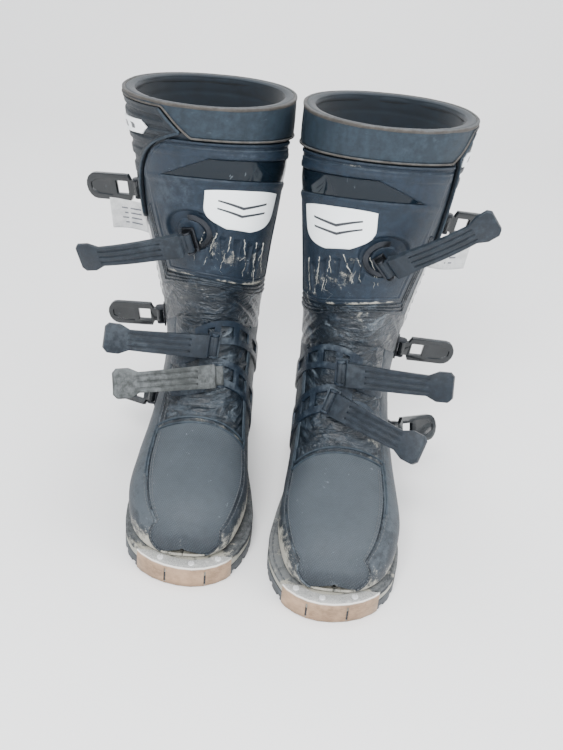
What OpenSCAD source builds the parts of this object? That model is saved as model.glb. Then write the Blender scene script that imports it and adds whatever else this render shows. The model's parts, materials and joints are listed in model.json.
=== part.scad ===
// Pair of motocross riding boots, each an assembly of sole unit, leather panels,
// moulded plates, ladder straps and buckles.  Z is up and the toes point to -Y.
// Every boot piece is drawn as the right boot; the left boot is its mirror image.

/* [Sole] */
// Length of the outsole, toe to heel
sole_length = 304; // [250:2:350]
// Width of the outsole across the ball of the foot
sole_width = 114; // [96:1:132]
// Thickness of the rubber outsole
outsole_t = 10; // [8:0.5:14]
// Thickness of the pale midsole
midsole_t = 5.5; // [5:0.5:9]
// Thickness of the dark welt
welt_t = 4.5; // [3:0.5:7]
// Depth of the tread grooves
tread_depth = 3; // [1:0.5:5]
// Width of one tread groove
tread_groove = 5; // [4:0.5:8]
// Distance from one tread groove to the next
tread_pitch = 15; // [12:1:20]

/* [Toe plate] */
// Thickness of the steel toe plate
plate_t = 1.2; // [0.8:0.1:2]
// Width of the plate's flange on top of the welt
plate_flange = 9; // [8:0.5:10]
// How far the plate reaches back from the toe
plate_reach = 17; // [14:1:24]
// Number of toe screws
screw_count = 3; // [2:1:5]
// Radius of a toe screw's shaft
screw_r = 1.4; // [1:0.1:2]
// Radius of a toe screw's head
screw_head_r = 2.7; // [2.4:0.1:3.2]

/* [Upper] */
// Height of the boot at the collar
boot_height = 376; // [320:2:430]
// Outer width of the shaft at the collar
collar_width = 138; // [120:1:156]
// Thickness of the leather panels
leather_t = 2.2; // [1.5:0.1:3]
// Thickness of the padded liner
liner_t = 4.6; // [3:0.2:7]
// Thickness of the moulded plates
shell_t = 2.6; // [2:0.2:4]
// Thickness of the soft collar
collar_t = 2; // [1.5:0.1:3]
// Thickness of the badge
badge_t = 1.2; // [0.8:0.1:2]
// How far round the outer side the right boot's ribbed panel starts, in degrees from the front
rib_tip_right = 8; // [6:1:48]
// The same for the left boot
rib_tip_left = 46; // [6:1:48]

/* [Straps and buckles] */
// Length of a strap from its pin
strap_length = 96; // [80:1:110]
// Width of a strap
strap_w = 21; // [18:0.5:22]
// Thickness of a strap
strap_t = 3.6; // [3:0.1:4.5]
// Radius of the circle that a strap's curve follows
strap_curl = 240; // [160:10:400]
// Length of a buckle lever from its pin
lever_length = 52; // [44:1:60]
// Width of a buckle lever
lever_w = 25; // [22:0.5:28]
// Thickness of a buckle lever
lever_t = 4.4; // [3.6:0.1:5.5]
// Radius of a hinge pin
pin_r = 1.4; // [1:0.1:2]

/* [Stance] */
// Distance between the two boots' middles
pair_spacing = 150; // [146:1:260]
// How far the left boot stands forward of the right
left_forward = 26; // [0:1:60]
// How far each collar leans: the right boot's forward, the left boot's back
shaft_lean = 8; // [0:1:15]

/* [Hidden] */
$fn = 32;
$lean = 0;
$tip = 8;
// Moves the pair so that the middle of its base is the origin
centre_x = -0.045;
centre_y = -56.617;
gap = 0.5;               // between layers that lie on each other
seam = 1.6;              // degrees between panels that meet edge to edge
pin_clearance = 0.05;    // radial, between a pin and its bore
hole_clearance = 0.06;   // radial, between a screw and its hole
sole_top = outsole_t + midsole_t + welt_t;
upper_base = sole_top + leather_t + 0.4;
plate_lift = 0.2;        // between the toe plate and what it wraps

// Offsets of the layers from the last's surface
liner_out = -0.6;
liner_in = liner_out - liner_t;
shell_in = leather_t + gap;
shell_out = shell_in + shell_t;
badge_in = shell_out + 0.3;

// Where the pieces lie, as a station along the boot (0 at the toe, 16 at the collar)
top = 16;
vamp_top = 5.1;
flex_front = 8.3;        // top edge of the foot leather, at the front
flex_rise = 3;           // how much higher it lies at the back
shaft_front = 9.6;       // bottom edge of the shaft leather, at the front
shaft_rise = 2.6;
shin_bottom = 9.75;
collar_bottom = 14.55;
edge = 0.1;              // stations left between two pieces that meet edge to edge

// Ankle hinge, on the boot's middle plane
kz = (boot_height - upper_base) / 353.4;
ky = sole_length / 304;
kf = sole_width / 114;
kc = collar_width / 138;
ankle_y = 8 * ky;
ankle_z = upper_base + 117.4 * kz;

// Pins of the straps and levers: station, angle round the boot, height above the last
strap_pin_off = 11.4;
lever_pin_off = 8.6;
strap_pins = [[11.65, -12], [7.5, 8], [6.65, 16]];
lever_pins = [[12.95, -96], [9.9, -93], [6.95, -84]];
label_turn = -14;
// Angle that each strap and lever stands out from the boot, then its droop; straps right, left
strap_rest = [[[22, 10], [24, -42]], [[20, -4], [18, -2]], [[20, 7], [28, 18]]];
lever_rest = [[72, 0], [78, 0], [55, -42]];
barrel_r = pin_r + 1.9;
bore_r = pin_r + pin_clearance;
lug_t = 2;
lug_r = 3.6;
strap_barrel = strap_w * 0.8;
lever_barrel = lever_w * 0.56;

// ---------- the last: one row per station ----------
// front y, front z, rear y, rear z, half width outer, inner, centre share, roundness front, rear
last_rows = [
    [-198.5, 33.4, -198.5, 32.6, 1, 1, 0.5, 2, 2],
    [-197, 44, -196, 24, 20, 21, 0.45, 2, 3],
    [-188, 57, -188, 22.6, 35, 34, 0.42, 2.1, 3.5],
    [-170, 68, -170, 22.6, 46.5, 42, 0.4, 2.2, 4],
    [-140, 78, -140, 22.6, 53, 47, 0.38, 2.2, 4],
    [-108, 92, -106, 22.6, 51.5, 45, 0.38, 2.1, 4],
    [-84, 112, -62, 22.6, 47, 42, 0.4, 2.1, 3.5],
    [-68, 140, -8, 22.6, 43, 40, 0.42, 2.1, 3],
    [-59, 170, 54, 22.6, 42, 40, 0.42, 2.1, 2.8],
    [-56, 197, 85, 30, 42, 41, 0.45, 2.1, 2.4],
    [-56, 220, 88, 76, 44, 43, 0.45, 2.1, 2.2],
    [-58, 243, 76, 132, 48, 47, 0.47, 2.1, 2.2],
    [-61, 268, 71, 190, 54, 52, 0.5, 2.1, 2.2],
    [-65, 300, 74, 250, 60, 58, 0.5, 2.1, 2.2],
    [-69, 335, 76, 301, 65, 63, 0.5, 2.1, 2.2],
    [-72, 356, 77, 333, 68, 66, 0.5, 2.1, 2.2],
    [-74, 376, 78, 361, 69, 67, 0.5, 2.1, 2.2]
];

// A smooth curve through the rows of a table
function through(a, b, c, d, f) = 0.5 * (2 * b + (c - a) * f
    + (2 * a - 5 * b + 4 * c - d) * f * f + (3 * b - a - 3 * c + d) * f * f * f);
function row_at(s) =
    let (n = len(last_rows) - 1, u = min(max(s, 0), n - 0.0001), i = floor(u))
    through(last_rows[max(i - 1, 0)], last_rows[i], last_rows[i + 1],
        last_rows[min(i + 2, n)], u - i);
// 0 at the foot, 1 at the collar
function shaft_share(s) = min(max((s - 8) / 8, 0), 1);
function wide(s) = kf + (kc - kf) * shaft_share(s);

// Point on the last at station s and angle th, moved outward by off
function on_last(s, th, off = 0) =
    let (r = row_at(s),
        front = [r[0] * ky, upper_base + (r[1] - 22.6) * kz],
        rear = [r[2] * ky, upper_base + (r[3] - 22.6) * kz],
        len_fr = norm(front - rear),
        dir = (front - rear) / len_fr,
        mid = rear + dir * len_fr * r[6],
        cs = cos(th),
        sn = sin(th),
        n = cs > 0 ? r[7] : r[8],
        k = pow(pow(abs(cs), n) + pow(abs(sn), n), -1 / n),
        v = k * cs * (cs > 0 ? (1 - r[6]) * len_fr + off : r[6] * len_fr + off),
        w = k * sn * ((sn < 0 ? r[4] : r[5]) * wide(s) + off),
        q = mid + dir * v)
    [w - 11 * shaft_share(s),
        q[0] - (2 + $lean) * shaft_share(s) - off * max(0, 1 - s / 1.5),
        max(q[1], upper_base - off)];

// Directions on the last: up along the boot, round it towards the inner side, and outward
function unit(v) = v / norm(v);
function up_dir(s, th) = unit(on_last(s + 0.05, th) - on_last(s - 0.05, th));
function out_dir(s, th) = unit(cross(on_last(s, th + 1) - on_last(s, th - 1), up_dir(s, th)));

// Places a piece on the last: X round the outer side, Y outward, Z up the boot
module on_boot(s, th, off) {
    z = up_dir(s, th);
    y = out_dir(s, th);
    x = cross(y, z);
    p = on_last(s, th) + y * off;
    multmatrix([[x[0], y[0], z[0], p[0]], [x[1], y[1], z[1], p[1]], [x[2], y[2], z[2], p[2]]])
        children();
}

// A curved panel of nu by nv cells.  place(u, v) gives station and angle, inner(u, v) and
// outer(u, v) the offsets of its two faces, keep(i, j) which cells are there.
module skin(place, inner, outer, nu, nv, wrap = false, keep = function (i, j) true) {
    cols = wrap ? nv : nv + 1;
    half = (nu + 1) * cols;
    grid = [for (i = [0:nu], j = [0:cols - 1]) [i / nu, j / nv]];
    pts = concat(
        [for (g = grid) let (q = place(g[0], g[1])) on_last(q[0], q[1], outer(g[0], g[1]))],
        [for (g = grid) let (q = place(g[0], g[1])) on_last(q[0], q[1], inner(g[0], g[1]))]);
    there = function (i, j) i >= 0 && i < nu && (wrap || (j >= 0 && j < nv))
        && keep(i, (j + nv) % nv);
    at = function (i, j) i * cols + (wrap ? j % cols : j);
    faces = [for (i = [0:nu - 1], j = [0:nv - 1]) if (keep(i, j))
        let (a = at(i, j), b = at(i + 1, j), c = at(i + 1, j + 1), d = at(i, j + 1))
        each concat(
            [[a, b, c], [a, c, d], [a + half, c + half, b + half], [a + half, d + half, c + half]],
            there(i - 1, j) ? [] : [[a, d, d + half], [a, d + half, a + half]],
            there(i + 1, j) ? [] : [[b, b + half, c + half], [b, c + half, c]],
            there(i, j - 1) ? [] : [[a, a + half, b + half], [a, b + half, b]],
            there(i, j + 1) ? [] : [[d, c, c + half], [d, c + half, d + half]])];
    polyhedron(points = pts, faces = faces, convexity = 6);
}

function flat(x) = function (u, v) x;
function lerp(a, b, t) = a + (b - a) * min(max(t, 0), 1);

// Edges of the panels
function flex_lo(th) = flex_front + flex_rise * (1 - cos(th)) / 2;
function flex_hi(th) = shaft_front + shaft_rise * (1 - cos(th)) / 2;
function vamp_outer(s) = lerp(-128, -42, s - 0.8);
function vamp_inner(s) = lerp(128, 60, s - 0.8);

// Outline of the sole, seen from above, moved outward by off
sole_rows = [[8, -209], [36, -197], [52, -168], [56, -138], [52, -100], [45, -55], [41, 0],
    [42, 50], [30, 86], [4, 97], [-24, 88], [-40, 55], [-43, 5], [-47, -50], [-55, -100],
    [-58, -135], [-50, -175], [-26, -201]];
function sole_raw(t) =
    let (n = len(sole_rows), i = floor(t), f = t - i,
        q = through(sole_rows[(i + n - 1) % n], sole_rows[(i + n) % n],
            sole_rows[(i + 1) % n], sole_rows[(i + 2) % n], f))
    [q[0] * kf, q[1] * ky];
function sole_pt(t, off) =
    let (u = t < 0 ? t + len(sole_rows) : t, d = unit(sole_raw(u + 0.03) - sole_raw(u - 0.03
        + (u < 0.03 ? len(sole_rows) : 0))))
    sole_raw(u) + off * [d[1], -d[0]];
function sole_outline(off) = [for (k = [0:53]) sole_pt(k / 3 + 0.05, off)];
screw_at = [for (k = [0:screw_count - 1]) -0.8 + 1.66 * k / max(1, screw_count - 1)];
toe_y = -209 * ky;

// ---------- the left boot is the right one mirrored, standing a little straighter ----------
boot_x = pair_spacing / 2 - 11;
boot_y = left_forward / 2;
module right_place() {
    $lean = shaft_lean;
    $tip = rib_tip_right;
    translate([-boot_x - centre_x, boot_y - centre_y, 0]) children();
}

module left_place() {
    $lean = -shaft_lean;
    $tip = rib_tip_left;
    translate([boot_x - centre_x, -boot_y - centre_y, 0]) mirror([1, 0, 0]) children();
}

// ---------- sole ----------
module outsole() {
    difference() {
        linear_extrude(height = outsole_t) polygon(sole_outline(0));
        for (y = [-188 * ky : tread_pitch : 84 * ky])
            translate([-90, y, -1]) cube([180, tread_groove, tread_depth + 1]);
        translate([-4, -230, -1]) cube([6, 400, tread_depth + 1]);
    }
}

module screw_holes(z0) {
    for (t = screw_at) {
        p = sole_pt(t, -plate_flange / 2 + 0.6);
        translate([p[0], p[1], z0]) cylinder(r = screw_r + hole_clearance, h = 60);
    }
}

module midsole() {
    difference() {
        translate([0, 0, outsole_t]) linear_extrude(height = midsole_t) polygon(sole_outline(-0.5));
        screw_holes(outsole_t + 1);
        translate([-13, -60, outsole_t + midsole_t - 1.4]) cube([26, 110, 2]);
    }
}

module welt() {
    difference() {
        translate([0, 0, outsole_t + midsole_t]) linear_extrude(height = welt_t) polygon(sole_outline(0));
        screw_holes(outsole_t);
    }
}

module steel_shank() {
    translate([-12.9, -59.9, outsole_t + midsole_t - 1.35]) cube([25.8, 109.8, 1.2]);
}

module toe_plate() {
    difference() {
        union() {
            translate([0, 0, 0.8]) linear_extrude(height = sole_top + plate_lift + plate_t - 0.8)
                polygon(sole_outline(plate_lift + plate_t));
        }
        translate([0, 0, -1]) linear_extrude(height = sole_top + plate_lift + 1)
            polygon(sole_outline(plate_lift));
        translate([0, 0, -1]) linear_extrude(height = 60) polygon(sole_outline(-plate_flange));
        translate([-90, toe_y + plate_reach, -1]) cube([180, 400, 60]);
        for (x = [-14, 20]) translate([x * kf, toe_y - 10, 2.2]) cube([1.6, 40, sole_top - 6]);
        screw_holes(outsole_t);
    }
}

module toe_screw_set() {
    for (t = screw_at) {
        p = sole_pt(t, -plate_flange / 2 + 0.6);
        translate([p[0], p[1], outsole_t + 1.2])
            cylinder(r = screw_r, h = midsole_t + welt_t + plate_lift + plate_t - 1.1);
        translate([p[0], p[1], sole_top + plate_lift + plate_t + 0.05])
            difference() {
                cylinder(r = screw_head_r, h = 1.2);
                translate([-0.4, -5, 0.7]) cube([0.8, 10, 2]);
            }
    }
}

module insole() {
    intersection() {
        translate([0, 0, upper_base + 3.9]) linear_extrude(height = 3) polygon(sole_outline(-24));
        translate([-90, -186 * ky, 0]) cube([180, 234 * ky, 60]);
    }
}

// ---------- leather of the foot ----------
module vamp() {
    skin(function (u, v) let (s = vamp_top * pow(u, 0.8))
        [s, lerp(vamp_outer(s), vamp_inner(s), v)],
        flat(0), function (u, v) leather_t + (u > 0.93 ? 0.6 : 0), 12, 18);
}

module instep_panel() {
    skin(function (u, v) let (th = lerp(-43, 62, v))
        [lerp(vamp_top + edge, flex_lo(th) - edge, u), th],
        flat(0), function (u, v) leather_t - 0.5 + 0.5 * sin(u * 360 * 3), 12, 12);
}

module quarter(side) {
    lo = function (s) side < 0 ? min(vamp_outer(s), -42) - 2 : max(vamp_inner(s), 60) + 3;
    start = 0.9;
    skin(function (u, v)
        let (s0 = lerp(start, flex_front + 0.9, u),
            th0 = lo(s0),
            th = lerp(th0, side * 179, v),
            s = lerp(start, flex_lo(th) - edge, u))
        [s, lerp(lo(s), side * 179, v)],
        flat(0), flat(leather_t), 13, 12);
}

module heel_counter() {
    skin(function (u, v) [lerp(8.6, 9.95, u), lerp(-118, -242, v)],
        flat(shell_in), function (u, v) shell_out - 1.2 * abs(2 * v - 1), 6, 12);
}

module ankle_gaiter() {
    skin(function (u, v) let (th = v * 360)
        [lerp(flex_lo(th) + edge, flex_hi(th) - edge, u), th],
        flat(-0.4), function (u, v) leather_t - 0.9 + 0.7 * sin(u * 360 * 2.5 + 90), 8, 36, true);
}

// ---------- shaft ----------
module liner() {
    skin(function (u, v) let (th = v * 360) [lerp(flex_hi(th) + edge, top - 0.15, u), th],
        flat(liner_in), flat(liner_out), 7, 32, true);
}

module shaft_leather() {
    skin(function (u, v) let (th = lerp(-74, 179, v)) [lerp(flex_hi(th), top - 0.15, u), th],
        flat(0), flat(leather_t), 7, 24);
}

module calf_panel() {
    skin(function (u, v) let (th = lerp(-116, -179, v)) [lerp(flex_hi(th), top - 0.15, u), th],
        flat(0), flat(leather_t), 7, 6);
}

module gusset() {
    skin(function (u, v) let (th = lerp(-76, -114, v)) [lerp(flex_hi(th), top - 0.15, u), th],
        flat(0), function (u, v) leather_t - (v > 0.1 && v < 0.9 ? 0.8 : 0), 7, 5);
}

// Front edge of the ribbed panel at station s
function rib_front(s) = let (w = min(max((s - 12.3) / 2.46, 0), 1))
    -66 + (60 - $tip) * pow(w, 1.9) - max(0, s - 14.76) * 16;

// Slots near the plate's foot, and the recess round its top
module shin_plate() {
    nu = 20;
    nv = 15;
    skin(function (u, v)
        let (low = lerp(-44, 80, v),
            s = lerp(shin_bottom + 1.3 * (1 - cos(1.25 * (low - 8))), collar_bottom - 0.12, u),
            k = (s - shin_bottom) / 4.68)
        [s, lerp(max(-44 - 10 * k, rib_front(s) + 3), 80 - 2 * k, v)],
        flat(shell_in),
        function (u, v) shell_out
            - ((u > 0.74 && u < 0.89 && v > 0.15 && v < 0.85) ? 1 : 0)
            - ((u < 0.03) ? 0.8 : 0) - ((v < 0.01 || v > 0.99) ? 1.2 : 0),
        nu, nv, false,
        function (i, j) !(i >= 2 && i <= 5 && (j == 5 || j == 7 || j == 9 || j == 11))
            && !(i == 18 && j > 3 && j < 12));
}

module shin_badge() {
    skin(function (u, v) [lerp(12, 13.15, u),
        lerp(1 + 14 * pow(1 - u, 3), 62 - 14 * pow(1 - u, 3), v)],
        flat(badge_in), flat(badge_in + badge_t), 6, 9);
}

// The collar narrows to a rim above the ribbed panel
function collar_lo(th) = lerp(collar_bottom, top - 0.3, min((-$tip - th) / 18, (th + 138) / 26));

module collar() {
    cols = 48;
    prof = function (lo) [[lo, shell_in], [lo, shell_in + collar_t],
        [max(top - 0.25, lo), shell_in + collar_t + 0.4], [top - 0.04, shell_in + collar_t],
        [top, liner_in + 1.6], [top - 0.04, liner_in - 0.4], [top - 0.12, liner_in + 1.4],
        [top - 0.12, leather_t + 0.2], [top - 0.14, shell_in]];
    n = 9;
    pts = [for (j = [0:cols - 1]) let (th = j * 360 / cols - 180) each
        [for (q = prof(collar_lo(th))) on_last(q[0], th, q[1])]];
    faces = [for (j = [0:cols - 1], k = [0:n - 1])
        let (a = j * n + k, b = j * n + (k + 1) % n,
            c = ((j + 1) % cols) * n + (k + 1) % n, d = ((j + 1) % cols) * n + k)
        each [[a, b, c], [a, c, d]]];
    polyhedron(points = pts, faces = faces, convexity = 6);
}

// Tapering ribbed panel below the collar on the outer side
module rib_panel() {
    skin(function (u, v) let (w = min(u / 0.75, 1), s = lerp(12.3, top - 0.42, u))
        [s, lerp(rib_front(s), lerp(-72, -118, w) + (u > 0.75 ? (u - 0.75) * 24 : 0), v)],
        flat(shell_in), function (u, v) shell_out - 1
            + ((v > 0.1 && v < 0.9 && u > 0.05 && u < 0.97 && floor(u * 21) % 3 != 0) ? 0.9 : 0),
        21, 9);
}

// Fabric label: one half lies on the gusset, the other stands out above it
module size_label() {
    skin(function (u, v) [lerp(10.4, 12.1, u), lerp(-90, -68, v)],
        flat(leather_t + 0.2), flat(leather_t + 0.9), 4, 4);
    on_boot(12.05, -80, leather_t + 0.4) rotate([0, label_turn, 8])
        translate([-0.35, 0, 0])
            union() {
                translate([0, 0, -5]) cube([0.7, 33, 8.5]);
                translate([0, 3.6, -5]) cube([0.7, 29.4, 31]);
            }
}

// ---------- straps, levers and their fittings ----------
// Band that follows a curve, between two heights over its middle, seen from above
function band(x0, x1, y0, y1) =
    let (n = 12, sag = function (x) strap_curl - sqrt(strap_curl * strap_curl - x * x))
    concat([for (k = [0:n]) let (x = lerp(x0, x1, k / n)) [x, y0 - sag(x)]],
        [for (k = [n:-1:0]) let (x = lerp(x0, x1, k / n)) [x, y1 - sag(x)]]);

module strap() {
    a = strap_barrel / 2;
    b = strap_w / 2;
    e = strap_length;
    plan = [[0, -a], [6, -a], [7.5, -b], [e - 20, -b + 1.6], [e - 12, -b - 2.5], [e - 3, -b - 2.5],
        [e, -b + 1], [e, b - 1], [e - 3, b + 2.5], [e - 12, b + 2.5], [e - 20, b - 1.6],
        [7.5, b], [6, a], [0, a]];
    difference() {
        union() {
            intersection() {
                linear_extrude(height = 60, center = true) polygon(band(0, e, -strap_t / 2, strap_t / 2));
                rotate([90, 0, 0]) linear_extrude(height = 200, center = true) polygon(plan);
            }
            intersection() {
                linear_extrude(height = 60, center = true)
                    polygon([[5, -0.4], [5.6, 2.6], [8, strap_t / 2 + 2.4], [15, strap_t / 2 + 2],
                        [30, strap_t / 2 - 2.2], [30, -1.6]]);
                rotate([90, 0, 0]) linear_extrude(height = 200, center = true) polygon(plan);
            }
            cylinder(r = barrel_r, h = strap_barrel, center = true);
        }
        cylinder(r = bore_r, h = 60, center = true);
        for (z = [-5.4, 0, 5.4]) translate([0, 0, z - 1])
            linear_extrude(height = 2) polygon(band(24, e - 18, strap_t / 2 - 1, strap_t / 2 + 3));
    }
}

module lever() {
    a = lever_barrel / 2;
    b = lever_w / 2;
    e = lever_length;
    r = b * 0.8;
    plan = concat([[0, -a], [5.5, -a], [8, -b]],
        [for (k = [-4:4]) [e - r + r * cos(k * 22.5), b * sin(k * 22.5)]],
        [[8, b], [5.5, a], [0, a]]);
    hollow = [[26, -b + 4.5], [e - 12, -b + 5.5], [e - 5, -3], [e - 5, 3], [e - 12, b - 5.5], [26, b - 4.5]];
    difference() {
        union() {
            rotate([90, 0, 0]) linear_extrude(height = lever_t, center = true) polygon(plan);
            cylinder(r = barrel_r, h = lever_barrel, center = true);
        }
        cylinder(r = bore_r, h = 60, center = true);
        translate([9, -10, -b * 0.52]) cube([12, 20, b * 1.04]);
        translate([0, lever_t / 2, 0]) rotate([90, 0, 0])
            linear_extrude(height = 2.6, center = true) polygon(hollow);
    }
}

// Two lugs on a plate, with the pin through them: y0 is the plate's inner face
module pin_seat(barrel, y0, plate_y, wide_x) {
    h = barrel / 2 + 0.4;
    translate([-wide_x / 2, y0, -h - lug_t - 1]) cube([wide_x, plate_y, 2 * h + 2 * lug_t + 2]);
    for (z = [h, -h - lug_t]) translate([0, 0, z]) {
        cylinder(r = lug_r, h = lug_t);
        translate([-lug_r, y0 + plate_y - 0.2, 0]) cube([2 * lug_r, -y0 - plate_y + 0.2, lug_t]);
    }
    cylinder(r = pin_r, h = 2 * h + 2 * lug_t, center = true);
}

module strap_seat() {
    pin_seat(strap_barrel, -strap_pin_off + shell_out + 0.7, 1.4, 11);
}

module lever_seat() {
    pin_seat(lever_barrel, -lever_pin_off + leather_t + 0.9, 1.5, 13);
}

module at_strap(k, left) {
    on_boot(strap_pins[k][0], strap_pins[k][1], strap_pin_off)
        rotate([0, strap_rest[k][left][1], 0]) children();
}

module strap_on(k, left) {
    at_strap(k, left) rotate([0, 0, strap_rest[k][left][0]]) strap();
}

module at_lever(k) {
    on_boot(lever_pins[k][0], lever_pins[k][1], lever_pin_off)
        rotate([0, lever_rest[k][1], 0]) children();
}

module lever_on(k) {
    at_lever(k) rotate([0, 0, lever_rest[k][0]]) lever();
}

// Strap with windows that wraps the inner side of the foot and ends below a keeper
module ladder(s0, s1, th0, rise) {
    skin(function (u, v) [lerp(s0, s1, u) + rise * v, lerp(th0, 114, v)],
        flat(shell_in), flat(shell_in + 1.8), 4, 17, false,
        function (i, j) !((i == 1 || i == 2) && j > 1 && j % 3 != 0));
}

module ladder_straps(left) {
    ladder(7.1, 7.85, -14, 1.5);
    ladder(6.2, 6.95, -6, 0.5);
    for (k = [1, 2]) at_strap(k, left) strap_seat();
}

module buckle_bases() {
    for (k = [1, 2]) at_lever(k) lever_seat();
}

// Raised crescent on the inner side of the top strap's root
module strap_crescent() {
    skin(function (u, v) let (a = lerp(95, -95, v), r = lerp(13.2, 17.6, u))
        [strap_pins[0][0] + r * sin(a) / 26, strap_pins[0][1] + r * cos(a) / 0.98],
        flat(shell_out + 0.3), function (u, v) shell_out + 1.2 + 3 * sin(180 * v) * (1 - u * 0.6),
        3, 14);
}

module top_hardware(left) {
    strap_crescent();
    at_strap(0, left) strap_seat();
    at_lever(0) lever_seat();
}

// ---------- right boot ----------
module right_outsole() {
    color("#55565a") right_place() outsole();
}

module right_midsole() {
    color("#d8d2bc") right_place() midsole();
}

module right_welt() {
    color("#3a3c40") right_place() welt();
}

module right_toe_plate() {
    color("#8c6a4c") right_place() toe_plate();
}

module right_insole() {
    color("#4a4d57") right_place() insole();
}

module right_vamp() {
    color("#5f6774") right_place() vamp();
}

module right_instep_panel() {
    color("#3f4651") right_place() instep_panel();
}

module right_quarter_outer() {
    color("#4c5461") right_place() quarter(-1);
}

module right_quarter_inner() {
    color("#4c5461") right_place() quarter(1);
}

module right_heel_counter() {
    color("#3d424b") right_place() heel_counter();
}

module right_ankle_gaiter() {
    color("#353a44") right_place() ankle_gaiter();
}

module right_liner() {
    color("#20263a") right_place() liner();
}

module right_ladder_straps() {
    color("#4f5763") right_place() ladder_straps(0);
}

module right_buckle_bases() {
    color("#2c2e33") right_place() buckle_bases();
}

module right_shaft_leather() {
    color("#3c4350") right_place() shaft_leather();
}

module right_calf_panel() {
    color("#4f5662") right_place() calf_panel();
}

module right_gusset() {
    color("#2f343e") right_place() gusset();
}

module right_shin_plate() {
    color("#333a48") right_place() shin_plate();
}

module right_shin_badge() {
    color("#e4e5e6") right_place() shin_badge();
}

module right_collar() {
    color("#6f7b8f") right_place() collar();
}

module right_rib_panel() {
    color("#2b303b") right_place() rib_panel();
}

module right_size_label() {
    color("#dcdcd8") right_place() size_label();
}

module right_top_hardware() {
    color("#2c2e33") right_place() top_hardware(0);
}

module right_strap_top() {
    color("#44484f") right_place() strap_on(0, 0);
}

module right_strap_mid() {
    color("#44484f") right_place() strap_on(1, 0);
}

module right_strap_low() {
    color("#4d4a45") right_place() strap_on(2, 0);
}

module right_lever_top() {
    color("#17181b") right_place() lever_on(0);
}

module right_lever_mid() {
    color("#17181b") right_place() lever_on(1);
}

module right_lever_low() {
    color("#17181b") right_place() lever_on(2);
}

// ---------- left boot ----------
module left_outsole() {
    color("#55565a") left_place() outsole();
}

module left_midsole() {
    color("#d8d2bc") left_place() midsole();
}

module left_welt() {
    color("#3a3c40") left_place() welt();
}

module left_toe_plate() {
    color("#8c6a4c") left_place() toe_plate();
}

module left_insole() {
    color("#4a4d57") left_place() insole();
}

module left_vamp() {
    color("#5f6774") left_place() vamp();
}

module left_instep_panel() {
    color("#3f4651") left_place() instep_panel();
}

module left_quarter_outer() {
    color("#4c5461") left_place() quarter(-1);
}

module left_quarter_inner() {
    color("#4c5461") left_place() quarter(1);
}

module left_heel_counter() {
    color("#3d424b") left_place() heel_counter();
}

module left_ankle_gaiter() {
    color("#353a44") left_place() ankle_gaiter();
}

module left_liner() {
    color("#20263a") left_place() liner();
}

module left_ladder_straps() {
    color("#4f5763") left_place() ladder_straps(1);
}

module left_buckle_bases() {
    color("#2c2e33") left_place() buckle_bases();
}

module left_shaft_leather() {
    color("#3c4350") left_place() shaft_leather();
}

module left_calf_panel() {
    color("#4f5662") left_place() calf_panel();
}

module left_gusset() {
    color("#2f343e") left_place() gusset();
}

module left_shin_plate() {
    color("#333a48") left_place() shin_plate();
}

module left_shin_badge() {
    color("#e4e5e6") left_place() shin_badge();
}

module left_collar() {
    color("#6f7b8f") left_place() collar();
}

module left_rib_panel() {
    color("#2b303b") left_place() rib_panel();
}

module left_size_label() {
    color("#dcdcd8") left_place() size_label();
}

module left_top_hardware() {
    color("#2c2e33") left_place() top_hardware(1);
}

module left_strap_top() {
    color("#44484f") left_place() strap_on(0, 1);
}

module left_strap_mid() {
    color("#44484f") left_place() strap_on(1, 1);
}

module left_strap_low() {
    color("#4d4a45") left_place() strap_on(2, 1);
}

module left_lever_top() {
    color("#17181b") left_place() lever_on(0);
}

module left_lever_mid() {
    color("#17181b") left_place() lever_on(1);
}

module left_lever_low() {
    color("#17181b") left_place() lever_on(2);
}

// ---------- small pieces of both boots ----------
module toe_screws() {
    color("#b9bcc0") {
        right_place() toe_screw_set();
        left_place() toe_screw_set();
    }
}

module steel_shanks() {
    color("#8d9095") {
        right_place() steel_shank();
        left_place() steel_shank();
    }
}

right_outsole();
right_midsole();
right_welt();
right_toe_plate();
right_insole();
right_vamp();
right_instep_panel();
right_quarter_outer();
right_quarter_inner();
right_heel_counter();
right_ankle_gaiter();
right_liner();
right_ladder_straps();
right_buckle_bases();
right_shaft_leather();
right_calf_panel();
right_gusset();
right_shin_plate();
right_shin_badge();
right_collar();
right_rib_panel();
right_size_label();
right_top_hardware();
right_strap_top();
right_strap_mid();
right_strap_low();
right_lever_top();
right_lever_mid();
right_lever_low();
left_outsole();
left_midsole();
left_welt();
left_toe_plate();
left_insole();
left_vamp();
left_instep_panel();
left_quarter_outer();
left_quarter_inner();
left_heel_counter();
left_ankle_gaiter();
left_liner();
left_ladder_straps();
left_buckle_bases();
left_shaft_leather();
left_calf_panel();
left_gusset();
left_shin_plate();
left_shin_badge();
left_collar();
left_rib_panel();
left_size_label();
left_top_hardware();
left_strap_top();
left_strap_mid();
left_strap_low();
left_lever_top();
left_lever_mid();
left_lever_low();
toe_screws();
steel_shanks();
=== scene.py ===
"""A pair of worn motocross riding boots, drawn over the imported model."""
import json
import math

import bmesh
import bpy
import numpy as np
from bpy.props import FloatProperty, FloatVectorProperty, IntProperty, PointerProperty
from bpy.types import Operator, Panel, PropertyGroup
from mathutils import Matrix, Vector

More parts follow.
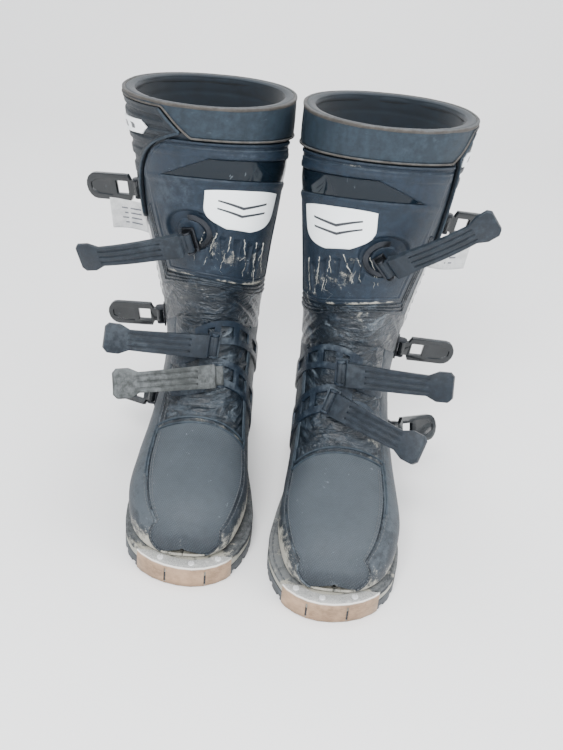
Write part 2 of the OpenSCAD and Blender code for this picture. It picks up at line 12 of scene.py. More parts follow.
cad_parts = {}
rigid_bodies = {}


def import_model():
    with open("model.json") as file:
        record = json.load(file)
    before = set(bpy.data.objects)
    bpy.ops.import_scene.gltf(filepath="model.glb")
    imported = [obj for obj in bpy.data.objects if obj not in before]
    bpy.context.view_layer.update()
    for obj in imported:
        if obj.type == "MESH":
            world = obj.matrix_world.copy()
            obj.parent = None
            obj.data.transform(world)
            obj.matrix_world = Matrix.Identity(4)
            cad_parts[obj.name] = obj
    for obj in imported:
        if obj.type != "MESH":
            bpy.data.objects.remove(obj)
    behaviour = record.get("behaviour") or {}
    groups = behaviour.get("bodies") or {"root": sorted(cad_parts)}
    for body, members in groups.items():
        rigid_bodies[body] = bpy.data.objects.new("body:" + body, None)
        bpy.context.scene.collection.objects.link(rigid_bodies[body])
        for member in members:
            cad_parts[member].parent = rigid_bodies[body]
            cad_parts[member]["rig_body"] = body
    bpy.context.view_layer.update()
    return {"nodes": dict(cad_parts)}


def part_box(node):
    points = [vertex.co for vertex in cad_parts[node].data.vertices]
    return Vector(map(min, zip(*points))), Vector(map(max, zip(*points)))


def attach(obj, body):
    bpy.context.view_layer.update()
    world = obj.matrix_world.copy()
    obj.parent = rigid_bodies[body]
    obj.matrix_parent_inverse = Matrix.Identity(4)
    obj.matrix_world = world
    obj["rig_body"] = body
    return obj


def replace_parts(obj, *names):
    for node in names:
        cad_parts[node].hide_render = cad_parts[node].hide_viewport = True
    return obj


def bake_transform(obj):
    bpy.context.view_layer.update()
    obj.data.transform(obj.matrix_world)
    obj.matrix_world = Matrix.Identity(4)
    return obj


bl_info = {
    "name": "Riding boots",
    "version": (1, 0, 0),
    "blender": (4, 5, 0),
    "location": "3D View > Sidebar > Boots",
    "description": "Builds a pair of worn riding boots with leather, moulded plates, straps and buckles",
    "category": "Add Mesh",
}

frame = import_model()
SIDES = ("right", "left")


# ---------------------------------------------------------------- settings
class BootLeather(PropertyGroup):
    """Colours and wear of the leather"""

    dark: FloatVectorProperty(name="Dark leather", description="Colour of the shaft and foot leather",
                              subtype="COLOR", default=(0.010, 0.017, 0.026))
    vamp: FloatVectorProperty(name="Toe leather",
                              description="Colour of the textured leather over the toes", subtype="COLOR",
                              default=(0.033, 0.042, 0.053))
    collar: FloatVectorProperty(name="Collar", description="Colour of the smooth band round the top",
                                subtype="COLOR", default=(0.015, 0.025, 0.036))
    dust: FloatVectorProperty(name="Dust", description="Colour of the dry dust", subtype="COLOR",
                              default=(0.15, 0.18, 0.205))
    dustiness: FloatProperty(name="Dustiness", description="How much dust lies on the boots",
                             subtype="FACTOR", default=0.42, min=0.0, max=1.0)
    wrinkle: FloatProperty(name="Wrinkle depth", description="Depth of the folds at the ankle, in metres",
                           subtype="DISTANCE", default=0.0025, min=0.0, max=0.003)


class BootHardware(PropertyGroup):
    """Colours of the moulded and metal pieces"""

    plate: FloatVectorProperty(name="Shin plate", description="Colour of the moulded plates",
                               subtype="COLOR", default=(0.009, 0.017, 0.029))
    strap: FloatVectorProperty(name="Straps", description="Colour of the straps", subtype="COLOR",
                               default=(0.009, 0.014, 0.021))
    buckle: FloatVectorProperty(name="Buckles", description="Colour of the glossy levers", subtype="COLOR",
                                default=(0.008, 0.01, 0.012))
    badge: FloatVectorProperty(name="Badges", description="Colour of the plain badges", subtype="COLOR",
                               default=(0.90, 0.95, 0.97))
    steel: FloatVectorProperty(name="Toe steel", description="Tint of the steel toe plate", subtype="COLOR",
                               default=(0.36, 0.25, 0.17))


class BootSole(PropertyGroup):
    """Sizes and colours of the sole"""

    cream: FloatVectorProperty(name="Midsole", description="Colour of the pale stripe", subtype="COLOR",
                               default=(0.33, 0.33, 0.29))
    rubber: FloatVectorProperty(name="Outsole", description="Colour of the outsole", subtype="COLOR",
                                default=(0.045, 0.05, 0.056))
    stitch: FloatProperty(name="Stitch length", description="Length of one stitch, in metres",
                          subtype="DISTANCE", default=0.0026, min=0.001, max=0.006)


class BootStage(PropertyGroup):
    """Floor, light and camera"""

    key: FloatProperty(name="Key light", description="Power of the key light in watts", default=62.0,
                       min=0.0, max=200.0)
    fill: FloatProperty(name="Fill light", description="Power of the fill light in watts", default=20.0,
                        min=0.0, max=200.0)
    sky: FloatProperty(name="Surround", description="Strength of the even surrounding light", default=1.05,
                       min=0.0, max=3.0)
    seed: IntProperty(name="Seed", description="Seed of the scratches and cracks", default=7, min=0)


# ---------------------------------------------------------------- the last
# Front y and z, rear y and z, half width outer and inner, centre share, roundness front, rear
ROWS = np.array([
    [-198.5, 33.4, -198.5, 32.6, 1, 1, 0.5, 2, 2],
    [-197, 44, -196, 24, 20, 21, 0.45, 2, 3],
    [-188, 57, -188, 22.6, 35, 34, 0.42, 2.1, 3.5],
    [-170, 68, -170, 22.6, 46.5, 42, 0.4, 2.2, 4],
    [-140, 78, -140, 22.6, 53, 47, 0.38, 2.2, 4],
    [-108, 92, -106, 22.6, 51.5, 45, 0.38, 2.1, 4],
    [-84, 112, -62, 22.6, 47, 42, 0.4, 2.1, 3.5],
    [-68, 140, -8, 22.6, 43, 40, 0.42, 2.1, 3],
    [-59, 170, 54, 22.6, 42, 40, 0.42, 2.1, 2.8],
    [-56, 197, 85, 30, 42, 41, 0.45, 2.1, 2.4],
    [-56, 220, 88, 76, 44, 43, 0.45, 2.1, 2.2],
    [-58, 243, 76, 132, 48, 47, 0.47, 2.1, 2.2],
    [-61, 268, 71, 190, 54, 52, 0.5, 2.1, 2.2],
    [-65, 300, 74, 250, 60, 58, 0.5, 2.1, 2.2],
    [-69, 335, 76, 301, 65, 63, 0.5, 2.1, 2.2],
    [-72, 356, 77, 333, 68, 66, 0.5, 2.1, 2.2],
    [-74, 376, 78, 361, 69, 67, 0.5, 2.1, 2.2],
])
SOLE = np.array([[8, -209], [36, -197], [52, -168], [56, -138], [52, -100], [45, -55], [41, 0], [42, 50],
                 [30, 86], [4, 97], [-24, 88], [-40, 55], [-43, 5], [-47, -50], [-55, -100], [-58, -135],
                 [-50, -175], [-26, -201]], float)
BASE = 22.6
TOP = 16.0
LEATHER = 2.2
SHELL_IN = 2.7
SHELL = 5.3
VAMP_TOP = 5.1
SHIN_BOTTOM = 9.75
SHIN_SPAN = 4.68
SHIN_START = -44
COLLAR_LOW = 14.55
STRAP_SEAT = (11.65, -12)
BAND_LOW, BAND_HIGH = 13.36, 13.86
LABEL_STATION, LABEL_ANGLE = 12.05, -80
FLAP_WIDTH, FLAP_HEIGHT = 0.032, 0.0305
# Edges of the midsole and the welt, upward: offset from the sole's outline, height
MIDSOLE_EDGE = ((-1.2, 10.02), (-0.6, 10.3), (-0.5, 11.0), (-0.5, 14.4), (-0.7, 15.1), (-1.2, 15.45))
WELT_EDGE = ((-1.4, 15.52), (-0.4, 15.7), (0.0, 16.4), (0.0, 18.4), (-0.3, 19.3),
             (-1.0, 19.85), (-1.8, 20.0),
             (-3.0, 20.0), (-3.4, 19.6), (-3.9, 19.6), (-4.3, 20.0), (-9.0, 20.0), (-14.0, 20.0))
# Cross sections of the rolled rim and of the lining's top edge: station past the top, offset
RIM = ((-0.24, 4.3), (-0.2, 5.0), (-0.12, 5.35), (-0.05, 5.2), (-0.01, 4.5), (0.0, 3.5), (-0.02, 2.6),
       (-0.1, 2.2), (-0.2, 2.4))
LINING_EDGE = ((-0.2, 2.5), (-0.06, 2.3), (-0.03, 1.0), (-0.05, -1.2), (-0.10, -3.4), (-0.17, -4.9),
               (-0.26, -5.4), (-0.34, -5.0), (-0.34, -1.0))


def clamp(x, lo=0.0, hi=1.0):
    """x held between lo and hi."""
    return np.minimum(np.maximum(x, lo), hi)


def lerp(a, b, t):
    """From a to b as t goes from 0 to 1, held at the ends."""
    return a + (b - a) * clamp(t)


def smooth(lo, hi, x):
    """A soft step from 0 at lo to 1 at hi; lo may be the larger."""
    t = clamp((x - lo) / (hi - lo))
    return t * t * (3 - 2 * t)


def through(a, b, c, d, f):
    """A smooth curve's value between b and c at the share f."""
    return 0.5 * (2 * b + (c - a) * f + (2 * a - 5 * b + 4 * c - d) * f * f
                  + (3 * b - a - 3 * c + d) * f ** 3)


def row_at(s):
    """The last's section at station s."""
    n = len(ROWS) - 1
    u = clamp(s, 0, n - 1e-4)
    i = np.floor(u).astype(int)
    f = (u - i)[..., None]
    return through(ROWS[np.maximum(i - 1, 0)], ROWS[i], ROWS[i + 1], ROWS[np.minimum(i + 2, n)], f)


def on_last(s, th, off, lean):
    """Point of the right boot's last, in millimetres, at station s, angle th and offset off."""
    s, th, off = (np.asarray(x, float) for x in np.broadcast_arrays(s, th, off))
    r = row_at(s)
    front, rear = r[..., 0:2], r[..., 2:4]
    span = np.linalg.norm(front - rear, axis=-1)
    way = (front - rear) / span[..., None]
    mid = rear + way * (span * r[..., 6])[..., None]
    cs, sn = np.cos(np.radians(th)), np.sin(np.radians(th))
    n = np.where(cs > 0, r[..., 7], r[..., 8])
    k = (np.abs(cs) ** n + np.abs(sn) ** n) ** (-1 / n)
    v = k * cs * (np.where(cs > 0, (1 - r[..., 6]) * span, r[..., 6] * span) + off)
    w = k * sn * (np.where(sn < 0, r[..., 4], r[..., 5]) + off)
    q = mid + way * v[..., None]
    share = clamp((s - 8) / 8)
    return np.stack([w - 11 * share, q[..., 0] - (2 + lean) * share - off * np.maximum(0, 1 - s / 1.5),
                     np.maximum(q[..., 1], BASE - off)], -1)


def outline(off, count=216, shift=0.05):
    """Outline of the sole from above, in millimetres, moved outward by off."""
    n = len(SOLE)
    t = np.arange(count) * n / count + shift

    def raw(t):
        i = np.floor(t).astype(int)
        return through(SOLE[(i - 1) % n], SOLE[i % n], SOLE[(i + 1) % n], SOLE[(i + 2) % n],
                       (t - i)[:, None])

    d = raw(t + 0.03) - raw(t - 0.03)
    d /= np.linalg.norm(d, axis=1)[:, None]
    return raw(t) + off * np.stack([d[:, 1], -d[:, 0]], 1)


class Boot:
    """One boot: turns the right boot's millimetres into the frame's metres."""

    def __init__(self, side):
        self.side = side
        self.left = side == "left"
        self.lean = -8.0 if self.left else 8.0
        self.tip = 46.0 if self.left else 8.0
        lo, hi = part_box(side + "_outsole")
        pts = outline(0, 54)
        self.oy = lo.y * 1000 - pts[:, 1].min()
        self.ox = hi.x * 1000 + pts[:, 0].min() if self.left else lo.x * 1000 - pts[:, 0].min()

    def world(self, p):
        q = np.array(p, float)
        q[..., 0] = (-q[..., 0] if self.left else q[..., 0]) + self.ox
        q[..., 1] += self.oy
        return q / 1000

    def at(self, s, th, off=0.0):
        return self.world(on_last(s, th, off, self.lean))

    def bumps(self, s, th, size, seed):
        """Smooth noise over the last, with lumps of the given size in millimetres."""
        return lattice(self.at(s, th) * 1000 / size, seed)

    def name(self, piece):
        return f"{self.side}_{piece}"


BOOTS = {side: Boot(side) for side in SIDES}


def flex_lo(th):
    """Station of the ankle leather's lower edge at angle th."""
    return 8.3 + 3 * (1 - np.cos(np.radians(th))) / 2


def flex_hi(th):
    """Station of the ankle leather's upper edge at angle th."""
    return 9.6 + 2.6 * (1 - np.cos(np.radians(th))) / 2


def vamp_outer(s):
    """Angle of the vamp's outer edge at station s."""
    return lerp(-128, -42, s - 0.8)


def vamp_inner(s):
    """Angle of the vamp's inner edge at station s."""
    return lerp(128, 60, s - 0.8)


def collar_lo(th, tip):
    """Station of the collar's lower edge, which rises over the ribbed panel."""
    th = (np.asarray(th, float) + 180) % 360 - 180
    return lerp(COLLAR_LOW, TOP - 0.3, np.minimum((-tip - th) / 18, (th + 138) / 26))


def rib_front(s, tip):
    """Angle of the ribbed panel's front edge at station s."""
    w = clamp((s - 12.3) / 2.46)
    return -66 + (60 - tip) * w ** 1.9 - np.maximum(0, s - 14.76) * 16


def lattice(p, seed=0):
    """Smooth noise from -1 to 1 at points p."""
    p = np.asarray(p, float)
    i = np.floor(p).astype(np.int64)
    f = p - i
    f = f * f * (3 - 2 * f)
    total = np.zeros(p.shape[:-1])
    for k in range(8):
        b = np.array([k & 1, (k >> 1) & 1, (k >> 2) & 1])
        q = i + b
        h = (q[..., 0] * 374761393 + q[..., 1] * 668265263 + q[..., 2] * 2147483647
             + seed * 974634777) & 0x7FFFFFFF
        h = ((h ^ (h >> 13)) * 1274126177) & 0x7FFFFFFF
        value = ((h ^ (h >> 16)) & 0xFFFF) / 32767.5 - 1
        total += value * np.prod(np.where(b == 1, f, 1 - f), axis=-1)
    return total


def folds(p, seed=0):
    """Creases like those of bent leather, from about -1 to 1."""
    a = lattice(p, seed)
    b = lattice(p * 2.1 + 5, seed + 1)
    return (1 - np.abs(a)) * 1.3 - 0.8 + 0.35 * b


# ---------------------------------------------------------------- meshes
def add_mesh(name, points, faces, material, uv=None, mask=None):
    """A smooth-shaded object with one material, its UVs and its point masks."""
    mesh = bpy.data.meshes.new(name)
    mesh.from_pydata([tuple(p) for p in points], [], [tuple(int(i) for i in f) for f in faces])
    mesh.validate()
    mesh.update()
    mesh.polygons.foreach_set("use_smooth", [True] * len(mesh.polygons))
    if uv is not None:
        layer = mesh.uv_layers.new(name="UVMap")
        index = np.empty(len(mesh.loops), int)
        mesh.loops.foreach_get("vertex_index", index)
        layer.data.foreach_set("uv", np.asarray(uv, float)[index].ravel())
    for key, values in (mask or {}).items():
        layer = mesh.attributes.new(key, "FLOAT", "POINT")
        layer.data.foreach_set("value", np.asarray(values, float).ravel())
    obj = bpy.data.objects.new(name, mesh)
    bpy.context.scene.collection.objects.link(obj)
    mesh.materials.append(material)
    return obj


def spaced(n, length, r):
    """Parameters from 0 to 1 that crowd in the last r millimetres at both ends."""
    if r <= 0:
        return np.linspace(0, 1, n + 1)
    e = np.array([0, 0.1, 0.35, 0.7, 1.0]) * min(r, length / 2.2) / length
    return np.unique(np.concatenate([e, np.linspace(e[-1], 1 - e[-1], n + 1), 1 - e]))


def shell(boot, name, place, depth, height, nu, nv, material, wrap=False, keep=None, soft=1.2, mask=None,
          body=None, foot=True):
    """A panel with thickness between offsets depth and height of the last."""
    g = np.linspace(0, 1, 9)
    gu, gv = np.meshgrid(g, g, indexing="ij")
    rough = boot.at(*place(gu, gv), 0) * 1000
    len_u = float(np.linalg.norm(np.diff(rough, axis=0), axis=-1).sum(0).mean())
    len_v = float(np.linalg.norm(np.diff(rough, axis=1), axis=-1).sum(1).mean())
    us = spaced(nu, len_u, soft)
    vs = np.linspace(0, 1, nv + 1)[:-1] if wrap else spaced(nv, len_v, soft)
    u, v = np.meshgrid(us, vs, indexing="ij")
    s, th = place(u, v)
    h = height(u, v, s, th) if callable(height) else np.full(u.shape, float(height))
    d = depth(u, v, s, th) if callable(depth) else np.full(u.shape, float(depth))
    if soft > 0:
        e = np.minimum(u if foot else 1.0 + 0.0 * u, 1 - u) * len_u
        if not wrap:
            e = np.minimum(e, np.minimum(v, 1 - v) * len_v)
        e = clamp(e / soft)
        h = np.maximum(h - soft * 0.9 * (1 - np.sqrt(clamp(1 - (1 - e) ** 2))), d + 0.15)
    top, low = boot.at(s, th, h), boot.at(s, th, d)
    if not foot:
        top[0], low[0] = top[0].mean(0), low[0].mean(0)
    a, b = u.shape
    n = a * b
    ids = np.arange(n).reshape(a, b)
    cols = b if wrap else b - 1
    faces = []
    there = np.ones((a - 1, cols), bool)
    if keep is not None:
        for i in range(a - 1):
            for j in range(cols):
                there[i, j] = keep((us[i] + us[i + 1]) / 2, (vs[j] + (vs[j + 1] if j + 1 < b else 1)) / 2)
    ds, dt = s[-1, 0] - s[0, 0], th[0, -1] - th[0, 0]
    flip = (ds < 0) != (dt < 0)
    if boot.left:
        flip = not flip
    for i in range(a - 1):
        for j in range(cols):
            if not there[i, j]:
                continue
            k = (j + 1) % b
            q = (ids[i, j], ids[i, k], ids[i + 1, k], ids[i + 1, j])
            out = [q, tuple(x + n for x in reversed(q))]
            if i == 0 or not there[i - 1, j]:
                out.append((q[1], q[0], q[0] + n, q[1] + n))
            if i == a - 2 or not there[i + 1, j]:
                out.append((q[3], q[2], q[2] + n, q[3] + n))
            if not wrap or keep is not None:
                if (j == 0 and not wrap) or not there[i, j - 1]:
                    out.append((q[0], q[3], q[3] + n, q[0] + n))
                if (j == cols - 1 and not wrap) or not there[i, (j + 1) % cols]:
                    out.append((q[2], q[1], q[1] + n, q[2] + n))
            faces += [tuple(reversed(f)) if flip else f for f in out]
    points = np.concatenate([top.reshape(-1, 3), low.reshape(-1, 3)])
    uv = np.stack([v * len_v / 1000, u * len_u / 1000], -1).reshape(-1, 2)
    extra = {k: np.concatenate([np.ravel(f(u, v, s, th))] * 2) for k, f in (mask or {}).items()}
    obj = add_mesh(boot.name(name), points, faces, material, np.concatenate([uv, uv]), extra)
    if keep is not None:
        drop_loose(obj)
    if body:
        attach(obj, body)
    return obj


def drop_loose(obj):
    """Deletes the points that no face uses."""
    bm = bmesh.new()
    bm.from_mesh(obj.data)
    bmesh.ops.delete(bm, geom=[v for v in bm.verts if not v.link_faces], context="VERTS")
    bm.to_mesh(obj.data)
    bm.free()


def sweep(points, radius, sides=8, squash=1.0):
    """Points and faces of a round bar along a line of points, in metres."""
    p = np.asarray(points, float)
    n = len(p)
    t = np.gradient(p, axis=0)
    t /= np.linalg.norm(t, axis=1)[:, None] + 1e-12
    up = np.array([0.0, 0.0, 1.0])
    a = np.cross(t, up)
    bad = np.linalg.norm(a, axis=1) < 0.2
    a[bad] = np.cross(t[bad], [0.0, 1.0, 0.0])
    a /= np.linalg.norm(a, axis=1)[:, None]
    for i in range(1, n):
        if a[i] @ a[i - 1] < 0:
            a[i] = -a[i]
    b = np.cross(t, a)
    r = np.broadcast_to(np.asarray(radius, float), (n,))
    ang = np.arange(sides) * 2 * math.pi / sides
    circle = np.cos(ang)[None, :, None] * a[:, None] + squash * np.sin(ang)[None, :, None] * b[:, None]
    pts = (p[:, None] + r[:, None, None] * circle).reshape(-1, 3)
    faces = []
    for i in range(n - 1):
        for k in range(sides):
            m, l = i + 1, (k + 1) % sides
            faces.append((i * sides + k, m * sides + k, m * sides + l, i * sides + l))
    faces.append(tuple(range(sides)))
    faces.append(tuple(reversed(range((n - 1) * sides, n * sides))))
    return pts, faces


def merge(parts):
    """Joins lists of points and faces into one."""
    pts, faces, base = [], [], 0
    for p, f in parts:
        pts.append(p)
        faces += [tuple(i + base for i in q) for q in f]
        base += len(p)
    return np.concatenate(pts), faces


def piping(boot, name, lines, radius, material, body):
    """Raised cords along seams."""
    parts = [sweep(line, radius, 8) for line in lines]
    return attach(add_mesh(boot.name(name), *merge(parts), material), body)


def stitches(boot, name, lines, material, body, length=None, radius=0.00042):
    """Rows of sewn stitches along lines."""
    length = length or bpy.context.scene.boot_sole.stitch
    parts = []
    for line in lines:
        gaps = np.linalg.norm(np.diff(line, axis=0), axis=1)
        run = np.concatenate([[0], np.cumsum(gaps)])
        pitch = length * 1.35
        for k in range(int(run[-1] / pitch)):
            at = np.array([0.0, 0.2, 0.5, 0.8, 1.0]) * length + k * pitch
            p = np.stack([np.interp(at, run, line[:, i]) for i in range(3)], 1)
            parts.append(sweep(p, radius * np.array([0.35, 0.9, 1.0, 0.9, 0.35]), 6))
    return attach(add_mesh(boot.name(name), *merge(parts), material), body)


def softened(node, material, width):
    """The node's own shape with rounded edges."""
    source = frame["nodes"][node]
    bm = bmesh.new()
    bm.from_mesh(source.data)
    bmesh.ops.remove_doubles(bm, verts=bm.verts, dist=1e-5)
    bmesh.ops.dissolve_limit(bm, angle_limit=math.radians(1.5), verts=bm.verts, edges=bm.edges,
                             delimit=set())
    mesh = bpy.data.meshes.new(node + "_finished")
    bm.to_mesh(mesh)
    bm.free()
    obj = bpy.data.objects.new(node + "_finished", mesh)
    bpy.context.scene.collection.objects.link(obj)
    mesh.materials.clear()
    mesh.materials.append(material)
    mod = obj.modifiers.new("Edges", "BEVEL")
    mod.width = width
    mod.segments = 3
    mod.limit_method = "ANGLE"
    mod.angle_limit = math.radians(32)
    mod.harden_normals = False
    apply_modifiers(obj)
    obj.data.polygons.foreach_set("use_smooth", [True] * len(obj.data.polygons))
    obj.data.set_sharp_from_angle(angle=math.radians(40))
    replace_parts(obj, node)
    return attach(obj, source["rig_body"])


def apply_modifiers(obj):
    """Turns the object's modified shape into its own mesh."""
    graph = bpy.context.evaluated_depsgraph_get()
    mesh = bpy.data.meshes.new_from_object(obj.evaluated_get(graph))
    obj.modifiers.clear()
    old = obj.data
    name = old.name
    obj.data = mesh
    bpy.data.meshes.remove(old)
    mesh.name = name


# ---------------------------------------------------------------- materials
class Wire:
    """A shader socket that can be used in sums."""

    def __init__(self, make, socket):
        self.make = make
        self.socket = socket

    def _math(self, op, a, b):
        return self.make.node("ShaderNodeMath", {"operation": op}, {0: a, 1: b})

    def __add__(self, o):
        return self._math("ADD", self, o)

    def __radd__(self, o):
        return self._math("ADD", o, self)

    def __sub__(self, o):
        return self._math("SUBTRACT", self, o)

    def __rsub__(self, o):
        return self._math("SUBTRACT", o, self)

    def __mul__(self, o):
        return self._math("MULTIPLY", self, o)

    def __rmul__(self, o):
        return self._math("MULTIPLY", o, self)

    def __abs__(self):
        return self._math("ABSOLUTE", self, 0.0)


class Make:
    """Builds one material's nodes."""

    def __init__(self, name):
        self.material = bpy.data.materials.new(name)
        self.material.use_nodes = True
        self.tree = self.material.node_tree
        self.shader = self.tree.nodes["Principled BSDF"]

    def node(self, kind, settings=None, inputs=None, out=0):
        n = self.tree.nodes.new(kind)
        for k, v in (settings or {}).items():
            setattr(n, k, v)
        for k, v in (inputs or {}).items():
            if isinstance(v, Wire):
                self.tree.links.new(v.socket, n.inputs[k])
            else:
                n.inputs[k].default_value = v
        return Wire(self, n.outputs[out])

    def place(self, scale=(1, 1, 1), turn=(0, 0, 0), uv=False):
        base = self.node("ShaderNodeTexCoord", out=2 if uv else 3)
        return self.node("ShaderNodeMapping", None, {0: base, 2: turn, 3: scale})

    def noise(self, scale, detail=4.0, rough=0.6, where=None, warp=0.0):
        return self.node("ShaderNodeTexNoise", None, {"Vector": where or self.place(), "Scale": scale,
                                                      "Detail": detail, "Roughness": rough,
                                                      "Distortion": warp})

    def step(self, x, lo, hi):
        return self.node("ShaderNodeMapRange", {"interpolation_type": "SMOOTHSTEP"},
                         {0: x, 1: lo, 2: hi, 3: 0.0, 4: 1.0})

    def mix(self, f, a, b):
        a = (*a, 1) if isinstance(a, tuple) else a
        b = (*b, 1) if isinstance(b, tuple) else b
        return self.node("ShaderNodeMix", {"data_type": "RGBA"}, {0: f, 6: a, 7: b}, 2)

    def axis(self, vector, i):
        return self.node("ShaderNodeSeparateXYZ", None, {0: vector}, i)

    def attribute(self, key):
        return self.node("ShaderNodeAttribute", {"attribute_name": key}, None, 2)

    def finish(self, color, rough, bump=None, strength=0.5, distance=0.0005, metal=None, coat=0.0,
               sheen=0.0, spec=0.5):
        s = self.shader
        for key, value in (("Base Color", color), ("Roughness", rough), ("Metallic", metal)):
            if isinstance(value, Wire):
                self.tree.links.new(value.socket, s.inputs[key])
            elif value is not None:
                s.inputs[key].default_value = (*value, 1) if isinstance(value, tuple) else value
        if bump is not None:
            b = self.node("ShaderNodeBump", None, {"Strength": strength, "Distance": distance,
                                                   "Height": bump})
            self.tree.links.new(b.socket, s.inputs["Normal"])
        s.inputs["Coat Weight"].default_value = coat
        s.inputs["Coat Roughness"].default_value = 0.15
        s.inputs["Sheen Weight"].default_value = sheen
        s.inputs["Specular IOR Level"].default_value = spec
        return self.material


def tone(c, k):
    """Colour c made lighter or darker by k."""
    return tuple(min(1.0, x * k) for x in c)


def upward(m):
    """1 on faces that look up, where dust settles."""
    z = m.axis(m.node("ShaderNodeNewGeometry", None, None, 1), 2)
    return m.step(z, -0.1, 0.9)


def clamp_wire(m, x):
    """x held between 0 and 1."""
    return m.node("ShaderNodeClamp", None, {0: x})


def scratches(m, stretch, turn, limits, warp, patch, patch_limits):
    """Long thin scratches that lie in patches."""
    lines = m.noise(1.0, 3.0, 0.55, m.place(stretch, turn), warp)
    return m.step(lines, *limits) * m.step(m.noise(patch, 3.0, 0.6), *patch_limits)


def chips(m, scale, limits, patch, shape, patch_limits):
    """Small rubbed-off spots that lie in patches."""
    where = m.step(m.noise(patch, 3.0, 0.6, m.place(shape)), *patch_limits)
    return m.step(m.noise(scale, 3.0, 0.7), *limits) * where


def worn(name, color, dust, grain=900.0, grain_depth=0.35, rough=0.5, dusty=0.5, scuffs=0.4, coat=0.0,
         mud=None, spec=0.28, creases=0.0):
    """Leather or plastic with grain, dust in patches, pale scuffs and scratches; with creases, painted
    shade in the folds and pale dust with a painted highlight beside them.
    """
    m = Make(name)
    big = m.noise(14.0, 5.0, 0.62)
    fine = m.noise(160.0, 4.0, 0.7)
    speck = m.noise(1400.0, 2.0, 0.8)
    patches = m.step(big + 0.35 * fine, 0.62, 0.92)
    fall = clamp_wire(m, upward(m) * 0.7 + patches * 0.75 + (fine - 0.5) * 0.8)
    amount = m.step(fall * (0.45 + 0.75 * speck), 0.22, 1.0) * dusty
    shade = m.mix(m.step(fine, 0.3, 0.72), tone(color, 0.72), tone(color, 1.28))
    shade = m.mix(amount, shade, dust)
    scratch = scratches(m, (240, 60, 900), (0.5, 0.4, 0.8), (0.70, 0.735), 0.6, 30.0, (0.5, 0.64))
    shade = m.mix(clamp_wire(m, scratch * scuffs), shade, tone(dust, 1.7))
    spots = chips(m, 420.0, (0.71, 0.76), 22.0, (1, 1.3, 0.8), (0.52, 0.66))
    shade = m.mix(clamp_wire(m, spots * scuffs), shade, tone(dust, 1.9))
    if mud:
        where = m.attribute(mud)
        muddy = m.step(where + (fine - 0.5) * 1.1 + (speck - 0.5) * 0.5, 0.42, 0.75)
        shade = m.mix(muddy, shade, m.mix(speck, (0.20, 0.19, 0.155), (0.50, 0.49, 0.43)))
    cells = m.node("ShaderNodeTexVoronoi", {"feature": "DISTANCE_TO_EDGE"},
                   {"Vector": m.place(), "Scale": grain})
    height = m.step(cells, 0.0, 0.28) * grain_depth + fine * 0.5 + big * 0.4
    if mud:
        height = height + muddy * (0.6 + speck)
    if creases:
        wide = m.noise(1.0, 4.0, 0.55, m.place((34, 34, 105), (0.25, 0.15, 0.0)), 0.7)
        tight = m.noise(1.0, 3.0, 0.6, m.place((90, 90, 230), (-0.2, 0.3, 0.0)), 0.9)
        fold = (1.0 - abs(wide * 2.0 - 1.0) * 3.2) * 0.8 + (1.0 - abs(tight * 2.0 - 1.0) * 3.0) * 0.4
        # painted shade: the fold lines are darkened towards a third of the leather's colour
        crease_shade = m.step(fold, 0.45, 1.05)
        height = height - m.step(fold, 0.1, 1.1) * 3.5 * creases
        shade = m.mix(crease_shade * 0.75, shade, tone(color, 0.35))
        # pale dust with a painted highlight on one side of each fold
        ridge_dust_and_highlight = m.step(wide + (speck - 0.5) * 0.5, 0.56, 0.72) * m.step(big, 0.42, 0.6)
        shade = m.mix(clamp_wire(m, ridge_dust_and_highlight * 0.55), shade, tone(dust, 1.25))
    r = rough + amount * 0.3 + (fine - 0.5) * 0.16
    return m.finish(shade, r, height, 0.55, 0.0006, coat=coat, spec=spec)


def scaled_leather(name, color, dust, dusty):
    """Toe leather pressed with a fine slanting lattice, with painted shade in its grooves."""
    m = Make(name)
    base = m.place()
    x, along = m.axis(base, 0), m.axis(base, 1) * 0.84 + m.axis(base, 2) * 0.55
    fine = m.noise(160.0, 4.0, 0.7)
    big = m.noise(12.0, 5.0, 0.6)
    speck = m.noise(1500.0, 2.0, 0.8)
    a = m.node("ShaderNodeMath", {"operation": "PINGPONG"},
               {0: x * 1.15 + along * 0.8 + 0.0006 * fine, 1: 0.00105})
    b = m.node("ShaderNodeMath", {"operation": "PINGPONG"},
               {0: x * 0.8 - along * 1.0 + 0.0006 * fine, 1: 0.00105})
    ridge = m.node("ShaderNodeMath", {"operation": "MINIMUM"}, {0: a * 950.0, 1: b * 950.0})
    lattice_height = m.step(ridge, 0.04, 0.62)
    shade = m.mix(m.step(fine, 0.3, 0.7), tone(color, 0.78), tone(color, 1.2))
    # painted shade: the lattice's grooves are darkened to 0.55 of the leather's colour
    shade = m.mix(lattice_height, tone(color, 0.55), shade)
    fall = m.step(big * 0.9 + upward(m) * 0.5 + (speck - 0.5) * 0.3, 0.45, 1.1) * dusty
    shade = m.mix(fall, shade, dust)
    where = m.attribute("mud")
    muddy = m.step(where + (fine - 0.5) * 1.2 + (speck - 0.5) * 0.5, 0.5, 0.85)
    shade = m.mix(muddy, shade, m.mix(speck, (0.22, 0.21, 0.17), (0.46, 0.46, 0.42)))
    scratch = scratches(m, (260, 70, 800), (0.2, 0.9, 0.3), (0.705, 0.73), 0.7, 26.0, (0.48, 0.6))
    spots = chips(m, 330.0, (0.70, 0.74), 19.0, (1, 1.2, 0.9), (0.54, 0.66))
    shade = m.mix(clamp_wire(m, scratch * 0.7 + spots), shade, tone(dust, 1.9))
    height = lattice_height * 1.0 + fine * 0.35 + muddy * speck
    return m.finish(shade, 0.5 + fall * 0.25 + (fine - 0.5) * 0.15, height, 0.6, 0.0006, spec=0.3)


